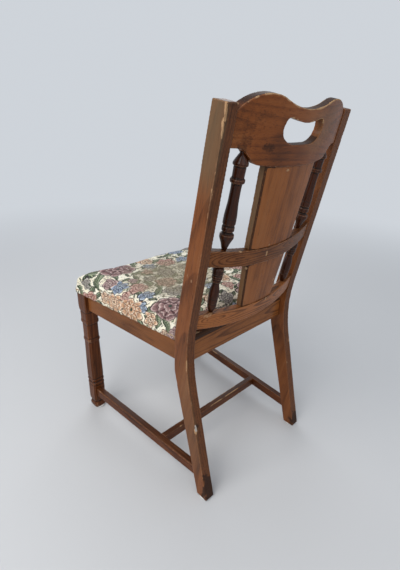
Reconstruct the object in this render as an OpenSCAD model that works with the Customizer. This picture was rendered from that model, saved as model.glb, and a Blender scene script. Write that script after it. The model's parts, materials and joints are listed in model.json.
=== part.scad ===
// Wooden dining chair with a raked, bowed back, turned spindles and a lift-off upholstered seat.
// The front is -Y, the sitter's left is +X, and the feet stand on z = 0.

/* [Overall] */
// Front of the seat cover to the rearmost point of the crest rail
overall_depth = 572; // [568:1:576]
// Angle by which the back leans rearwards
back_rake = 9.65; // [9:0.05:10]
// Height of the point that the raked back is measured from
rake_height = 700; // [698:1:702]
// Thickness of a glide under a foot
glide_height = 3.5; // [3:0.5:6]

/* [Back posts] */
// Inner face of each post from the middle of the chair
post_inner = 187.5; // [186:0.5:189]
// Outer face at the floor, from the middle of the chair
post_outer_foot = 216; // [214:0.5:218]
// Outer face at seat height, from the middle of the chair
post_outer_seat = 213.5; // [212:0.5:215]
// Outer face at the top, from the middle of the chair
post_outer_top = 218; // [216:0.5:220]
// Rear edge of the foot at floor level, from the middle of the chair
foot_rear = 269.5; // [266:0.5:273]
// Depth of the foot from front to rear
foot_depth = 35.5; // [32:0.5:40]
// Rearward slope of the lower leg's rear edge
leg_rear_slope = 14.5; // [13.5:0.1:15.5]
// Rearward slope of the lower leg's front edge
leg_front_slope = 16.4; // [15.5:0.1:17.5]
// Front face at the seat rails, from the middle of the chair
post_front = 130.2; // [128:0.5:133]
// Height at which the front face starts to lean back above the seat
front_knee_top = 462; // [455:1:470]
// Depth of the post at its top
post_top_depth = 36; // [32:0.5:40]
// Length of the post above the rake point, along the rake
post_reach = 268.8; // [266:0.2:272]
// Radius of the knee on the rear edge
knee_radius = 430; // [400:10:460]

/* [Bowed rails] */
// Depth of the bow from the post to the middle of the chair
bow_depth = 28; // [24:0.5:32]
// Thickness of the bowed rails
bow_thickness = 20; // [18:0.5:22]
// How far the rails' rear face sits ahead of the posts' rear face
bow_inset = 3; // [1:0.5:5]
// Lower edge of the middle rail at the posts, from the rake point
mid_rail_low = -54.8; // [-57:0.2:-52]
// Height of the middle rail
mid_rail_height = 38.7; // [36:0.1:41]
// Droop of the middle rail at its centre
mid_rail_droop = 16; // [12:0.5:20]
// Lower edge of the lower rail at the posts, from the rake point
lower_rail_low = -224.3; // [-226:0.2:-221]
// Height of the lower rail
lower_rail_height = 41.7; // [39:0.1:44]
// Droop of the lower rail at its centre
lower_rail_droop = 10; // [7:0.5:13]

/* [Crest rail] */
// Height of the two humps above the rake point
hump_top = 289.4; // [286:0.2:292]
// Distance of each hump from the middle
hump_place = 112.5; // [110:0.5:120]
// Radius of each hump
hump_radius = 100; // [98:1:104]
// Height of the dip between the humps
dip_top = 268; // [266:0.2:270]
// Height of the underside at the posts
crest_shoulder = 192; // [188:0.5:196]
// Height of the underside at the middle
crest_belly = 155.6; // [153:0.2:158]
// Half the width of the hand hole
hand_hole_half = 71; // [66:0.5:74]
// Lowest point of the hand hole
hand_hole_low = 200.5; // [198:0.5:204]
// Height of the hand hole's upper edge at the middle
hand_hole_dip = 242.6; // [238:0.2:245]
// Height of the hand hole's upper corners
hand_hole_horn = 249.5; // [248:0.5:252]

/* [Splats] */
// Thickness of the two splats
splat_thickness = 17; // [14:0.5:18]
// How far a splat's rear face sits ahead of the rails' rear face
splat_recess = 2.5; // [1:0.5:4]
// Half the width of the upper splat at the crest
upper_splat_top = 91; // [88:0.5:94]
// Half the width of the upper splat at the middle rail
upper_splat_foot = 80; // [77:0.5:83]
// Half the width of the lower splat at the middle rail
lower_splat_top = 74; // [71:0.5:77]
// Half the width of the lower splat at the lower rail
lower_splat_foot = 60; // [57:0.5:63]
// Thickness of the tongue that holds a splat in a rail
tongue_thickness = 8; // [6:0.5:9]
// Length of the tongue
tongue_length = 8; // [6:0.5:10]

/* [Spindles] */
// Distance of the upper spindle's top from the middle
upper_spindle_top = 145.5; // [143:0.5:148]
// Distance of the upper spindle's foot from the middle
upper_spindle_foot = 142.5; // [140:0.5:145]
// Distance of the lower spindle's top from the middle
lower_spindle_top = 147; // [145:0.5:149]
// Distance of the lower spindle's foot from the middle
lower_spindle_foot = 144.5; // [142:0.5:147]
// Axis of the spindles ahead of the posts' rear face
spindle_set = 5.5; // [4:0.5:6]
// Diameter of the round tenons
tenon_diameter = 10; // [8:0.5:10.5]
// Length of each round tenon inside its rail
tenon_length = 13; // [10:0.5:15]

/* [Seat frame] */
// Height of the rails' underside
rail_low = 377; // [374:1:380]
// Height of the rails' upper edge
rail_top = 434.6; // [432:0.2:437]
// Rounding along a side rail's lower outer edge
rail_round = 7; // [4:0.5:9]
// Thickness of the seat rails
rail_thickness = 22; // [20:0.5:24]
// Rear face of the rear rail from the middle of the chair
rear_rail_back = 157.5; // [155:0.5:160]
// Outer face of a side rail at the post
side_rail_rear = 208; // [206:0.5:210]
// Outer face of a side rail at the front leg
side_rail_front = 244; // [241:0.5:247]
// Setback of the front rail from the front of the legs
front_rail_setback = 6; // [4:0.5:8]
// Height of a corner block
block_height = 32; // [26:1:36]
// Length of a corner block's short sides
block_reach = 62; // [55:1:70]
// Width of the cleat that holds up the cushion's rear edge
cleat_width = 14; // [12:1:18]
// Height of the cleat
cleat_height = 20; // [16:1:24]

/* [Front legs] */
// Middle of the foot from the middle of the chair, sideways
leg_foot_x = 230.5; // [229:0.5:232]
// Middle of the foot from the middle of the chair, forwards
leg_foot_y = 252.3; // [250:0.5:254]
// Outward lean of the leg
leg_lean_out = 0.45; // [0:0.05:0.8]
// Forward lean of the leg
leg_lean_front = 0.55; // [0:0.05:0.8]
// Width of the square block at the top
leg_block = 44; // [42:0.5:46]
// Width of the tapered shaft at its narrow upper end
leg_neck = 37.5; // [35:0.5:39]
// Width of the tapered shaft at its lower end
leg_calf = 41; // [39:0.5:42]

/* [Stretchers] */
// Height of the stretchers' underside
stretcher_low = 53.2; // [50:0.2:56]
// Height of a stretcher
stretcher_height = 27.7; // [25:0.1:30]
// Thickness of the side stretchers
stretcher_width = 19.6; // [18:0.2:21]
// Outer face of a side stretcher at the front leg
stretcher_front = 242.8; // [241:0.2:245]
// Outer face of a side stretcher at the back post
stretcher_rear = 211; // [209:0.2:213]
// Middle of the cross stretcher, rearwards of the middle of the chair
cross_place = 71.5; // [66:0.5:76]
// Thickness of the cross stretcher
cross_width = 17; // [15:0.5:19]

/* [Seat] */
// Half the width of the seat at its front
seat_front_half = 264; // [261:0.5:266]
// Half the width of the seat at its rear
seat_rear_half = 210; // [207:0.5:212]
// Gap between the seat's rear edge and the posts
seat_gap = 3; // [2:0.5:5]
// Rounding of the seat's front corners
seat_corner = 16; // [12:1:24]
// Thickness of the plywood board
board_thickness = 10; // [8:0.5:12]
// Thickness of the cloth
cover_thickness = 1.4; // [1:0.1:2]
// Height of the cushion above the rails at its middle
seat_crown = 62; // [58:1:66]
// Height of the cushion above the rails at its edges
seat_edge = 52; // [48:1:55]
// Rounding along the cushion's upper edges
seat_round = 30; // [20:1:36]
// Width of the cloth turned under the board
cover_turn = 42; // [34:1:46]

/* [Fixings] */
// Diameter of the dowels
dowel_diameter = 8; // [7:0.5:9]
// Length of a dowel inside each of its two pieces
dowel_reach = 15; // [12:0.5:16]
// Diameter of a screw's shank
screw_shank = 4; // [3.5:0.25:4.5]
// Diameter of a screw's head
screw_head = 8; // [7:0.5:9]
// Diameter of a glide
glide_diameter = 32; // [18:1:34]
// How far a front glide sits behind the middle of its foot
glide_offset = 7; // [0:0.5:8]
// Diameter of a glide's nail
nail_diameter = 2; // [1.5:0.25:2.5]

/* [Hidden] */

// Fine enough that the wide bow stays smooth
$fn = 96;
bow_fn = 720;
// Angle between two points of a rounded corner
arc_step = 5;
// Extra length of a cutting shape, and of a blank before it is trimmed
past = 1;
blank = 700;
// Clearance round a dowel or tenon, and at the bottom of its hole
fit = 0.05;
hole_spare = 1;
// Clearance of a splat's tongue in its groove
groove_fit = 0.15;
// Gap between the cleat and the corner blocks
cleat_gap = 0.5;

wood = "#6b3d26";
wood_dark = "#4f2c1d";
raw_wood = "#b48a5c";
foam = "#e3dcc4";
cloth = "#b9a98f";
steel = "#8d8f92";
glide_white = "#e6e3da";

rake_y = overall_depth / 2
  - (bow_depth - bow_inset) * cos(back_rake) - dip_top * sin(back_rake);
bow_radius = (post_inner * post_inner + bow_depth * bow_depth) / (2 * bow_depth);
bow_middle = bow_depth - bow_inset - bow_radius;
dip_radius = (hump_place * hump_place + pow(hump_top - dip_top, 2))
  / (2 * (hump_top - dip_top)) - hump_radius;
rear_rail_front = rear_rail_back - rail_thickness;
block_half = leg_block / 2;
leg_low_block = leg_calf - 0.5;
leg_top_x = leg_foot_x + rail_top * tan(leg_lean_out);
leg_top_y = leg_foot_y + rail_top * tan(leg_lean_front);
leg_back_y = block_half - leg_top_y;
front_rail_front = -leg_top_y - block_half + front_rail_setback;
front_rail_back = front_rail_front + rail_thickness;
seat_rear_y = post_front - seat_gap;
board_low = rail_top + cover_thickness;
board_top = board_low + board_thickness;
dowel_heights = [393, 419];
bow_dowel_y = -11;
crest_dowel_heights = [208, 243];
mid_dowel_heights = [-45, -26];
lower_dowel_heights = [-214, -193];
stretcher_middle = stretcher_low + stretcher_height / 2;
block_top = rail_top - 4;
block_low = block_top - block_height;

// ---- outlines with rounded corners: each point is [x, y, radius] ----

function flat_point(p) = [p[0], p[1]];
function unit(v) = v / norm(v);
function turn(a, b) = let (d = b - a) d > 180 ? d - 360 : d < -180 ? d + 360 : d;
function rounded_corner(a, b, c, radius) =
  let (
    u = unit(a - b),
    v = unit(c - b),
    half = acos(u * v) / 2,
    middle = b + unit(u + v) * radius / sin(half),
    start = b + u * radius / tan(half) - middle,
    end = b + v * radius / tan(half) - middle,
    from = atan2(start[1], start[0]),
    sweep = turn(from, atan2(end[1], end[0])),
    steps = max(1, ceil(abs(sweep) / arc_step))
  )
  [for (i = [0 : steps])
    middle + radius * [cos(from + sweep * i / steps), sin(from + sweep * i / steps)]];
function rounded(points) =
  let (n = len(points))
  [for (i = [0 : n - 1], p = points[i][2] > 0
      ? rounded_corner(
          flat_point(points[(i + n - 1) % n]), flat_point(points[i]),
          flat_point(points[(i + 1) % n]), points[i][2])
      : [flat_point(points[i])]) p];
function mirrored(points) =
  concat(points, [for (i = [len(points) - 1 : -1 : 0]) [-points[i][0], points[i][1], points[i][2]]]);
function arc(middle, radius, from, to, steps) =
  [for (i = [0 : steps])
    middle + radius * [cos(from + (to - from) * i / steps), sin(from + (to - from) * i / steps)]];
// Where a line through a at angle s meets a line through b at angle t, both from the vertical
function crossing(a, s, b, t) =
  let (k = (b[0] - a[0] - (b[1] - a[1]) * tan(t)) / (tan(s) - tan(t)))
  [a[0] + k * tan(s), a[1] + k];

// ---- frames of reference ----

// The raked back: its own Y runs rearwards through the rails and its own Z up the posts
module raked() {
  translate([0, rake_y, rake_height]) rotate([-back_rake, 0, 0]) children();
}

function raked_point(y, z) = [
  rake_y + y * cos(back_rake) + z * sin(back_rake),
  rake_height - y * sin(back_rake) + z * cos(back_rake)
];

// A flat outline drawn in Y and Z, swept along X
module sweep_x(from, to) {
  translate([from, 0, 0]) rotate([90, 0, 90]) linear_extrude(to - from) children();
}

// A flat outline drawn in X and Z, swept along Y
module sweep_y(from, to) {
  translate([0, to, 0]) rotate([90, 0, 0]) linear_extrude(to - from) children();
}

// A flat outline drawn in X and Y, swept along Z
module sweep_z(from, to) {
  translate([0, 0, from]) linear_extrude(to - from) children();
}

module right_side() {
  mirror([1, 0, 0]) children();
}

module both_sides() {
  children();
  mirror([1, 0, 0]) children();
}

// A round rod or hole along X, centred on x = joint
module rod_x(joint, y, z, back, ahead, radius) {
  translate([joint - back, y, z]) rotate([0, 90, 0]) cylinder(h = back + ahead, r = radius);
}

// A round rod or hole along Y, centred on y = joint
module rod_y(x, joint, z, back, ahead, radius) {
  translate([x, joint + ahead, z]) rotate([90, 0, 0]) cylinder(h = back + ahead, r = radius);
}

// ---- dowels: grow is 0 for the dowel and the clearance for its hole ----

module bow_dowels(heights, grow = 0, spare = 0) {
  raked() for (z = heights)
    rod_x(post_inner, bow_dowel_y, z, dowel_reach + spare, dowel_reach + spare,
      dowel_diameter / 2 + grow);
}

module rear_rail_dowel(grow = 0, spare = 0) {
  for (z = dowel_heights)
    rod_x(post_inner, rear_rail_back - 7, z, dowel_reach + spare, dowel_reach + spare,
      dowel_diameter / 2 + grow);
}

module front_rail_dowel(grow = 0, spare = 0) {
  for (z = dowel_heights)
    rod_x(leg_top_x - block_half, front_rail_front + 9, z, dowel_reach + spare,
      dowel_reach + spare, dowel_diameter / 2 + grow);
}

module side_rail_dowel(grow = 0, spare = 0) {
  for (z = dowel_heights) {
    rod_y(side_rail_rear - rail_thickness / 2, post_front, z,
      dowel_reach + spare, 13 + spare, dowel_diameter / 2 + grow);
    rod_y(side_rail_front - rail_thickness / 2, leg_back_y, z,
      13 + spare, dowel_reach + spare, dowel_diameter / 2 + grow);
  }
}

// Where the side stretcher meets the post and the leg, at its middle height
stretcher_post_y = foot_rear - foot_depth - stretcher_middle * tan(leg_front_slope);
stretcher_leg_y = leg_low_block / 2 - leg_foot_y - stretcher_middle * tan(leg_lean_front);
stretcher_angle = atan((stretcher_front - stretcher_rear) / (stretcher_post_y - stretcher_leg_y));
function stretcher_face(y) = stretcher_rear + (stretcher_post_y - y) * tan(stretcher_angle);

module stretcher_dowel(grow = 0, spare = 0) {
  rod_y(stretcher_rear - stretcher_width / 2, stretcher_post_y, stretcher_middle,
    dowel_reach + spare, dowel_reach + spare, dowel_diameter / 2 + grow);
  rod_y(stretcher_front - stretcher_width / 2, stretcher_leg_y, stretcher_middle,
    dowel_reach + spare, dowel_reach + spare, dowel_diameter / 2 + grow);
}

module cross_dowel(grow = 0, spare = 0) {
  rod_x(stretcher_face(cross_place) - stretcher_width, cross_place, stretcher_middle,
    dowel_reach + spare, 11 + spare, dowel_diameter / 2 + grow);
}

// ---- back ----

module post_outline() {
  knee = crossing([foot_rear, 0], -leg_rear_slope, raked_point(-1, 0), back_rake);
  foot_front = foot_rear - foot_depth;
  front_knee_z = (foot_front - post_front) / tan(leg_front_slope);
  polygon(rounded([
    [foot_rear - glide_height * tan(leg_rear_slope), glide_height, 1.5],
    [knee[0], knee[1], knee_radius],
    concat(raked_point(-1, post_reach), 3),
    concat(raked_point(-post_top_depth - 1, post_reach), 3),
    [post_front, front_knee_top, 180],
    [post_front, front_knee_z, 100],
    [foot_front - glide_height * tan(leg_front_slope), glide_height, 1.5]
  ]));
}

module post_blank() {
  top = raked_point(-post_top_depth - 1, post_reach)[1];
  intersection() {
    sweep_x(post_inner, post_outer_top + past) post_outline();
    sweep_y(0, overall_depth) polygon([
      [post_inner, 0], [post_outer_foot, 0], [post_outer_seat, rail_top],
      [post_outer_top, top + past], [post_inner, top + past]
    ]);
  }
}

module post() {
  color(wood) difference() {
    post_blank();
    bow_dowels(crest_dowel_heights, fit, hole_spare);
    bow_dowels(mid_dowel_heights, fit, hole_spare);
    bow_dowels(lower_dowel_heights, fit, hole_spare);
    rear_rail_dowel(fit, hole_spare);
    side_rail_dowel(fit, hole_spare);
    stretcher_dowel(fit, hole_spare);
    rear_glide_place() glide_nail(fit);
  }
}

// A curved slab between two radii of the bow, cut to an outline drawn in X and Z
module bowed(outer, thickness) {
  intersection() {
    translate([0, bow_middle, -blank / 2]) difference() {
      cylinder(h = blank, r = outer, $fn = bow_fn);
      translate([0, 0, -past]) cylinder(h = blank + 2 * past, r = outer - thickness, $fn = bow_fn);
    }
    sweep_y(-blank / 4, blank / 4) children();
  }
}

module crest_outline() {
  hump = [hump_place, hump_top - hump_radius];
  end_angle = acos((post_inner - hump_place) / hump_radius);
  join_angle = atan2(dip_top + dip_radius - hump[1], -hump_place);
  hump_steps = 18;
  dip_steps = 8;
  hump_arc = arc(hump, hump_radius, end_angle, join_angle, hump_steps);
  dip_arc = arc([0, dip_top + dip_radius], dip_radius, join_angle - 180, -90, dip_steps);
  under = rounded([
    [0, crest_belly, 0], [64, crest_belly + 1, 300], [126, crest_belly + 7, 34],
    [158, crest_shoulder, 24], [post_inner, crest_shoulder, 0]
  ]);
  // The first and last points of the half lie on the middle line and aren't repeated
  half = concat(under, hump_arc, [for (i = [1 : dip_steps]) dip_arc[i]]);
  polygon(concat(half, [for (i = [len(half) - 2 : -1 : 1]) [-half[i][0], half[i][1]]]));
}

module hand_hole_outline() {
  polygon(rounded(concat([[0, hand_hole_dip - 2.4, 110]], mirrored([
    [hand_hole_half - 9, hand_hole_horn + 2.5, 11],
    [hand_hole_half + 3, hand_hole_low + 21.5, 22],
    [hand_hole_half - 27, hand_hole_low, 56]
  ]))));
}

module crest_blank() {
  bowed(bow_radius, bow_thickness) crest_outline();
}

module crest_rail() {
  color(wood) difference() {
    raked() difference() {
      crest_blank();
      sweep_y(-blank / 4, blank / 4) hand_hole_outline();
      splat_tongue(upper_splat_foot, upper_splat_top, groove_fit);
      both_sides() upper_spindle_place() upper_socket();
    }
    both_sides() bow_dowels(crest_dowel_heights, fit, hole_spare);
  }
}

// A rail whose edges both droop by the same arc towards the middle
function droop_radius(droop) = (post_inner * post_inner + droop * droop) / (2 * droop);
function droop_edge(low, droop) =
  let (
    radius = droop_radius(droop),
    half = asin(post_inner / radius)
  )
  arc([0, low - droop + radius], radius, -90 - half, -90 + half, 24);
module rail_outline(low, height, droop) {
  lower = droop_edge(low, droop);
  upper = droop_edge(low + height, droop);
  polygon(concat(lower, [for (i = [len(upper) - 1 : -1 : 0]) upper[i]]));
}

module mid_rail_blank() {
  bowed(bow_radius, bow_thickness) rail_outline(mid_rail_low, mid_rail_height, mid_rail_droop);
}

module mid_rail() {
  color(wood) difference() {
    raked() difference() {
      mid_rail_blank();
      splat_tongue(upper_splat_foot, upper_splat_top, groove_fit);
      splat_tongue(lower_splat_foot, lower_splat_top, groove_fit, false);
      both_sides() upper_spindle_place() upper_socket();
      both_sides() lower_spindle_place() lower_socket();
    }
    both_sides() bow_dowels(mid_dowel_heights, fit, hole_spare);
  }
}

module lower_rail_blank() {
  bowed(bow_radius, bow_thickness) rail_outline(lower_rail_low, lower_rail_height, lower_rail_droop);
}

module lower_rail() {
  color(wood) difference() {
    raked() difference() {
      lower_rail_blank();
      splat_tongue(lower_splat_foot, lower_splat_top, groove_fit, false);
      both_sides() lower_spindle_place() lower_socket();
    }
    both_sides() bow_dowels(lower_dowel_heights, fit, hole_spare);
  }
}

// ---- splats ----

mid_rail_belly = mid_rail_low - mid_rail_droop;
mid_rail_crown = mid_rail_belly + mid_rail_height;
lower_rail_crown = lower_rail_low - lower_rail_droop + lower_rail_height;
// Room above and below a splat for its shape before the rails trim it
splat_spare = 12;
// Side of the small rabbet along a splat's rear corners
rabbet = 2.2;

function splat_foot(upper) = upper ? mid_rail_crown : lower_rail_crown;
function splat_head(upper) = upper ? crest_belly : mid_rail_belly;

// The splat's tapered outline, grown past each end by a length and at each side by a width
module splat_taper(foot_half, head_half, foot, head, length, width) {
  slope = (head_half - foot_half) / (head - foot);
  low = foot_half - slope * length + width;
  high = head_half + slope * length + width;
  polygon([
    [-low, foot - length], [low, foot - length], [high, head + length], [-high, head + length]
  ]);
}

module splat_tongue(foot_half, head_half, grow, upper = true) {
  outer = bow_radius - splat_recess - (splat_thickness - tongue_thickness) / 2;
  bowed(outer + grow, tongue_thickness + 2 * grow)
    splat_taper(foot_half, head_half, splat_foot(upper), splat_head(upper),
      tongue_length + grow * 4, grow - 4);
}

module splat(foot_half, head_half, upper) {
  outer = bow_radius - splat_recess;
  raked() {
    difference() {
      bowed(outer, splat_thickness)
        splat_taper(foot_half, head_half, splat_foot(upper), splat_head(upper), splat_spare, 0);
      difference() {
        bowed(outer + past, rabbet + past)
          splat_taper(foot_half, head_half, splat_foot(upper), splat_head(upper), splat_spare + past, past);
        sweep_y(-blank / 4, blank / 4)
          splat_taper(foot_half, head_half, splat_foot(upper), splat_head(upper), splat_spare + 2 * past,
            -rabbet);
      }
      if (upper) crest_blank();
      mid_rail_blank();
      if (!upper) lower_rail_blank();
    }
    splat_tongue(foot_half, head_half, 0, upper);
  }
}

module upper_splat() {
  color(wood) splat(upper_splat_foot, upper_splat_top, true);
}

module lower_splat() {
  color(wood) splat(lower_splat_foot, lower_splat_top, false);
}

// ---- spindles: the turned profile runs up from the foot at z = 0 ----

upper_spindle_low = -23.5;
upper_spindle_high = 184;
lower_spindle_low = -187.4;
lower_spindle_high = -61;
upper_spindle_tilt = atan((upper_spindle_top - upper_spindle_foot) / (upper_spindle_high - upper_spindle_low));
lower_spindle_tilt = atan((lower_spindle_top - lower_spindle_foot) / (lower_spindle_high - lower_spindle_low));
upper_spindle_length = (upper_spindle_high - upper_spindle_low) / cos(upper_spindle_tilt);
lower_spindle_length = (lower_spindle_high - lower_spindle_low) / cos(lower_spindle_tilt);

module upper_spindle_place() {
  translate([upper_spindle_foot, -spindle_set, upper_spindle_low])
    rotate([0, upper_spindle_tilt, 0]) children();
}

module lower_spindle_place() {
  translate([lower_spindle_foot, -spindle_set, lower_spindle_low])
    rotate([0, lower_spindle_tilt, 0]) children();
}

module spindle_tenons(length, grow = 0) {
  radius = tenon_diameter / 2 + grow;
  reach = tenon_length + (grow > 0 ? hole_spare : 0);
  for (start = [-reach, length - 3])
    translate([0, 0, start]) cylinder(h = reach + 3, r = radius);
}

// A turned shape: each point is [radius, height, corner rounding]
module turned(points, length) {
  rotate_extrude() polygon(rounded(concat([[0, 0, 0]], points, [[0, length, 0]])));
}

module upper_turning() {
  neck = tenon_diameter / 2;
  length = upper_spindle_length;
  turned([
    [neck, 0, 0], [neck + 1.6, 5, 4], [neck + 5.6, 18, 12], [15.8, 30, 3], [15.8, 38, 2.5],
    [11, 41, 1], [11, 44.5, 1], [13.8, 46.5, 1.5], [13.8, 55, 1.5], [12.4, 57, 0.8],
    [12.4, 60, 0.8], [14, 61.5, 1], [14, 73, 0], [13, 74.2, 0], [14, 75.4, 0], [13.6, 82, 30],
    [11.3, 108, 60], [10.8, 135, 12], [11.3, 146.5, 2.5], [15.4, 150, 1.6], [15.4, 156, 1.6],
    [12.5, 158, 0.6], [12.9, 179, 0.6], [11.8, 181, 0.6], [15.9, 183, 1.8], [15.7, 188, 6],
    [10, 198.5, 12], [neck + 1, 205, 6], [neck, length, 0]
  ], length);
}

module lower_turning() {
  neck = tenon_diameter / 2;
  length = lower_spindle_length;
  turned([
    [neck, 0, 0], [neck + 1, 3, 2], [9.6, 11, 10], [10.9, 17, 3], [10.9, 23.5, 0.8],
    [9.9, 25.2, 0.6], [11.4, 27, 1], [11.9, 38.6, 0], [11, 39.8, 0], [11.9, 41, 0],
    [12.2, 50, 20], [11.6, 61, 16], [8.2, 78, 20], [8.2, 83, 2.5], [10.6, 85.3, 1.2],
    [10.6, 89.6, 1.2], [9.6, 91.8, 0.6], [12.4, 93.6, 1.4], [12.4, 100.6, 1.4],
    [10.8, 102.8, 0.6], [12.8, 106, 4], [12.8, 119, 8], [neck, length, 0]
  ], length);
}

// What a rail is bored and scribed with to seat a spindle
module upper_socket() {
  spindle_tenons(upper_spindle_length, fit);
  upper_turning();
}

module lower_socket() {
  spindle_tenons(lower_spindle_length, fit);
  lower_turning();
}

module upper_spindle() {
  color(wood_dark) raked() upper_spindle_place() {
    upper_turning();
    spindle_tenons(upper_spindle_length);
  }
}

module lower_spindle() {
  color(wood_dark) raked() lower_spindle_place() {
    lower_turning();
    spindle_tenons(lower_spindle_length);
  }
}

// ---- front legs: square in plan with cut corners, shaped by four silhouettes ----

// Each step up the leg is [height, width, cut corner]
leg_steps = [
  [0, 35, 5], [glide_height, 36, 5], [7, 39, 5.5], [11, leg_low_block, 6], [17, leg_low_block, 6],
  [22, 37.5, 6], [25, 35.5, 6], [28, 36, 6], [33, 39.5, 5], [38, leg_low_block, 4.5],
  [91, leg_low_block, 4.5], [94, leg_calf - 2.5, 5], [97, leg_calf + 0.5, 5],
  [103, leg_calf + 0.5, 5], [106, leg_calf - 3, 6], [109, leg_calf - 3, 6],
  [112, leg_calf + 0.5, 5], [118, leg_calf + 0.5, 5], [121, leg_calf - 2, 6],
  [126, leg_calf, 6], [160, leg_calf, 6], [262, leg_neck, 5.5], [265, leg_neck + 1, 5],
  [268, leg_neck + 3, 4.5], [274, leg_neck + 3, 4.5], [277, leg_neck + 0.6, 5],
  [327, leg_neck + 0.4, 5], [330, leg_neck + 2.5, 4.5], [333, leg_neck + 5, 4],
  [340, leg_neck + 5, 4], [343, leg_neck + 3.5, 4.5], [368, leg_neck + 4, 4.5],
  [371, leg_neck + 2.8, 5], [374, leg_block - 0.6, 4.5], [379, leg_block, 3.5],
  [388, leg_block, 1], [rail_top + 2, leg_block, 1]
];

module leg_silhouette(halves) {
  polygon(concat(
    [for (i = [0 : len(leg_steps) - 1]) [halves[i], leg_steps[i][0]]],
    [for (i = [len(leg_steps) - 1 : -1 : 0]) [-halves[i], leg_steps[i][0]]]));
}

module leg_blank() {
  flat_halves = [for (s = leg_steps) s[1] / 2];
  corner_halves = [for (s = leg_steps) (s[1] - s[2]) / sqrt(2)];
  intersection() {
    translate([leg_foot_x, -leg_foot_y, 0]) rotate([leg_lean_front, leg_lean_out, 0])
      intersection() {
        sweep_x(-leg_block, leg_block) leg_silhouette(flat_halves);
        sweep_y(-leg_block, leg_block) leg_silhouette(flat_halves);
        rotate([0, 0, 45]) sweep_x(-leg_block, leg_block) leg_silhouette(corner_halves);
        rotate([0, 0, 45]) sweep_y(-leg_block, leg_block) leg_silhouette(corner_halves);
      }
    translate([0, -overall_depth, glide_height])
      cube([overall_depth, overall_depth, rail_top - glide_height]);
  }
}

module front_leg() {
  color(wood) difference() {
    leg_blank();
    front_rail_dowel(fit, hole_spare);
    side_rail_dowel(fit, hole_spare);
    stretcher_dowel(fit, hole_spare);
    front_glide_place() glide_nail(fit);
  }
}

// ---- seat frame ----

// How far a part runs into a leaning leg before the leg's own shape trims it
overrun = 2.5;

module rear_seat_rail() {
  color(wood) difference() {
    translate([-post_inner, rear_rail_front, rail_low])
      cube([2 * post_inner, rail_thickness, rail_top - rail_low]);
    both_sides() rear_rail_dowel(fit, hole_spare);
    both_sides() rail_screw_place(rear_rail_front, -1) screw(block_screw, fit);
  }
}

module front_seat_rail() {
  half = leg_top_x - block_half + overrun;
  color(wood) difference() {
    translate([-half, front_rail_front, rail_low])
      cube([2 * half, rail_thickness, rail_top - rail_low]);
    both_sides() leg_blank();
    both_sides() front_rail_dowel(fit, hole_spare);
    both_sides() rail_screw_place(front_rail_back, 1) screw(block_screw, fit);
  }
}

// Plan line of a side rail's outer face
side_angle = atan((side_rail_front - side_rail_rear) / (post_front - leg_back_y));
function side_rail_face(y) = side_rail_rear + (post_front - y) * tan(side_angle);
function side_rail_inner(y) = side_rail_face(y) - rail_thickness;

// Cross-section with a rounded lower outer edge; the outer face is x = 0
module side_rail_section() {
  width = rail_thickness * cos(side_angle);
  polygon(rounded([
    [0, rail_low, rail_round], [0, rail_top, 0], [-width, rail_top, 0], [-width, rail_low, 1]
  ]));
}

module side_seat_rail() {
  length = (post_front - leg_back_y) / cos(side_angle);
  color(wood) difference() {
    translate([side_rail_rear, post_front, 0]) rotate([90, 0, side_angle])
      translate([0, 0, -overrun]) linear_extrude(length + 2 * overrun) side_rail_section();
    post_blank();
    leg_blank();
    side_rail_dowel(fit, hole_spare);
    side_screw_place(rear_rail_front, -1) screw(block_screw, fit);
    side_screw_place(front_rail_back, 1) screw(block_screw, fit);
  }
}

// ---- stretchers ----

// Cross-section with a bead worked along the upper outer edge; the outer face is x = 0
module stretcher_section() {
  polygon(rounded([
    [0, 0, 1], [0, stretcher_height - 7.5, 0], [-1.3, stretcher_height - 6.6, 0],
    [0, stretcher_height - 5.7, 0], [0, stretcher_height, 3.5],
    [-stretcher_width, stretcher_height, 1.5], [-stretcher_width, 0, 1]
  ]));
}

module side_stretcher() {
  length = (stretcher_post_y - stretcher_leg_y) / cos(stretcher_angle);
  run = 8;
  color(wood) difference() {
    translate([stretcher_rear, stretcher_post_y, stretcher_low]) rotate([90, 0, stretcher_angle])
      translate([0, 0, -run]) linear_extrude(length + run + overrun) stretcher_section();
    post_blank();
    leg_blank();
    stretcher_dowel(fit, hole_spare);
    cross_dowel(fit, hole_spare);
  }
}

module cross_stretcher() {
  front = cross_place - cross_width / 2;
  rear = cross_place + cross_width / 2;
  front_half = stretcher_face(front) - stretcher_width / cos(stretcher_angle);
  rear_half = stretcher_face(rear) - stretcher_width / cos(stretcher_angle);
  color(wood) difference() {
    sweep_z(stretcher_low, stretcher_low + stretcher_height) polygon([
      [-front_half, front], [front_half, front], [rear_half, rear], [-rear_half, rear]
    ]);
    both_sides() cross_dowel(fit, hole_spare);
  }
}

// ---- corner blocks and screws ----

// way is 1 for a block behind the front rail and -1 for one ahead of the rear rail
block_seat = 12;
block_screw = 26;
seat_screw = block_height + rail_top - block_top + cover_thickness + 7;
screw_share = 0.6;

module corner_block(rail_face, way, stop_x, stop_y) {
  far = rail_face + way * block_reach;
  color(raw_wood) difference() {
    sweep_z(block_low, block_top) polygon([
      [side_rail_inner(rail_face) - block_reach, rail_face], [stop_x, rail_face],
      [stop_x, stop_y], [side_rail_inner(stop_y), stop_y], [side_rail_inner(far), far]
    ]);
    rail_screw_place(rail_face, way) screw_seat();
    side_screw_place(rail_face, way) screw_seat();
    rail_screw_place(rail_face, way) screw(block_screw, fit);
    side_screw_place(rail_face, way) screw(block_screw, fit);
    seat_screw_place(rail_face, way) screw(seat_screw, fit);
  }
}

module front_block() {
  corner_block(front_rail_back, 1, leg_top_x - block_half - 2, leg_back_y + 2);
}

module rear_block() {
  corner_block(rear_rail_front, -1, post_inner - 2, post_front - 2);
}

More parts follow.
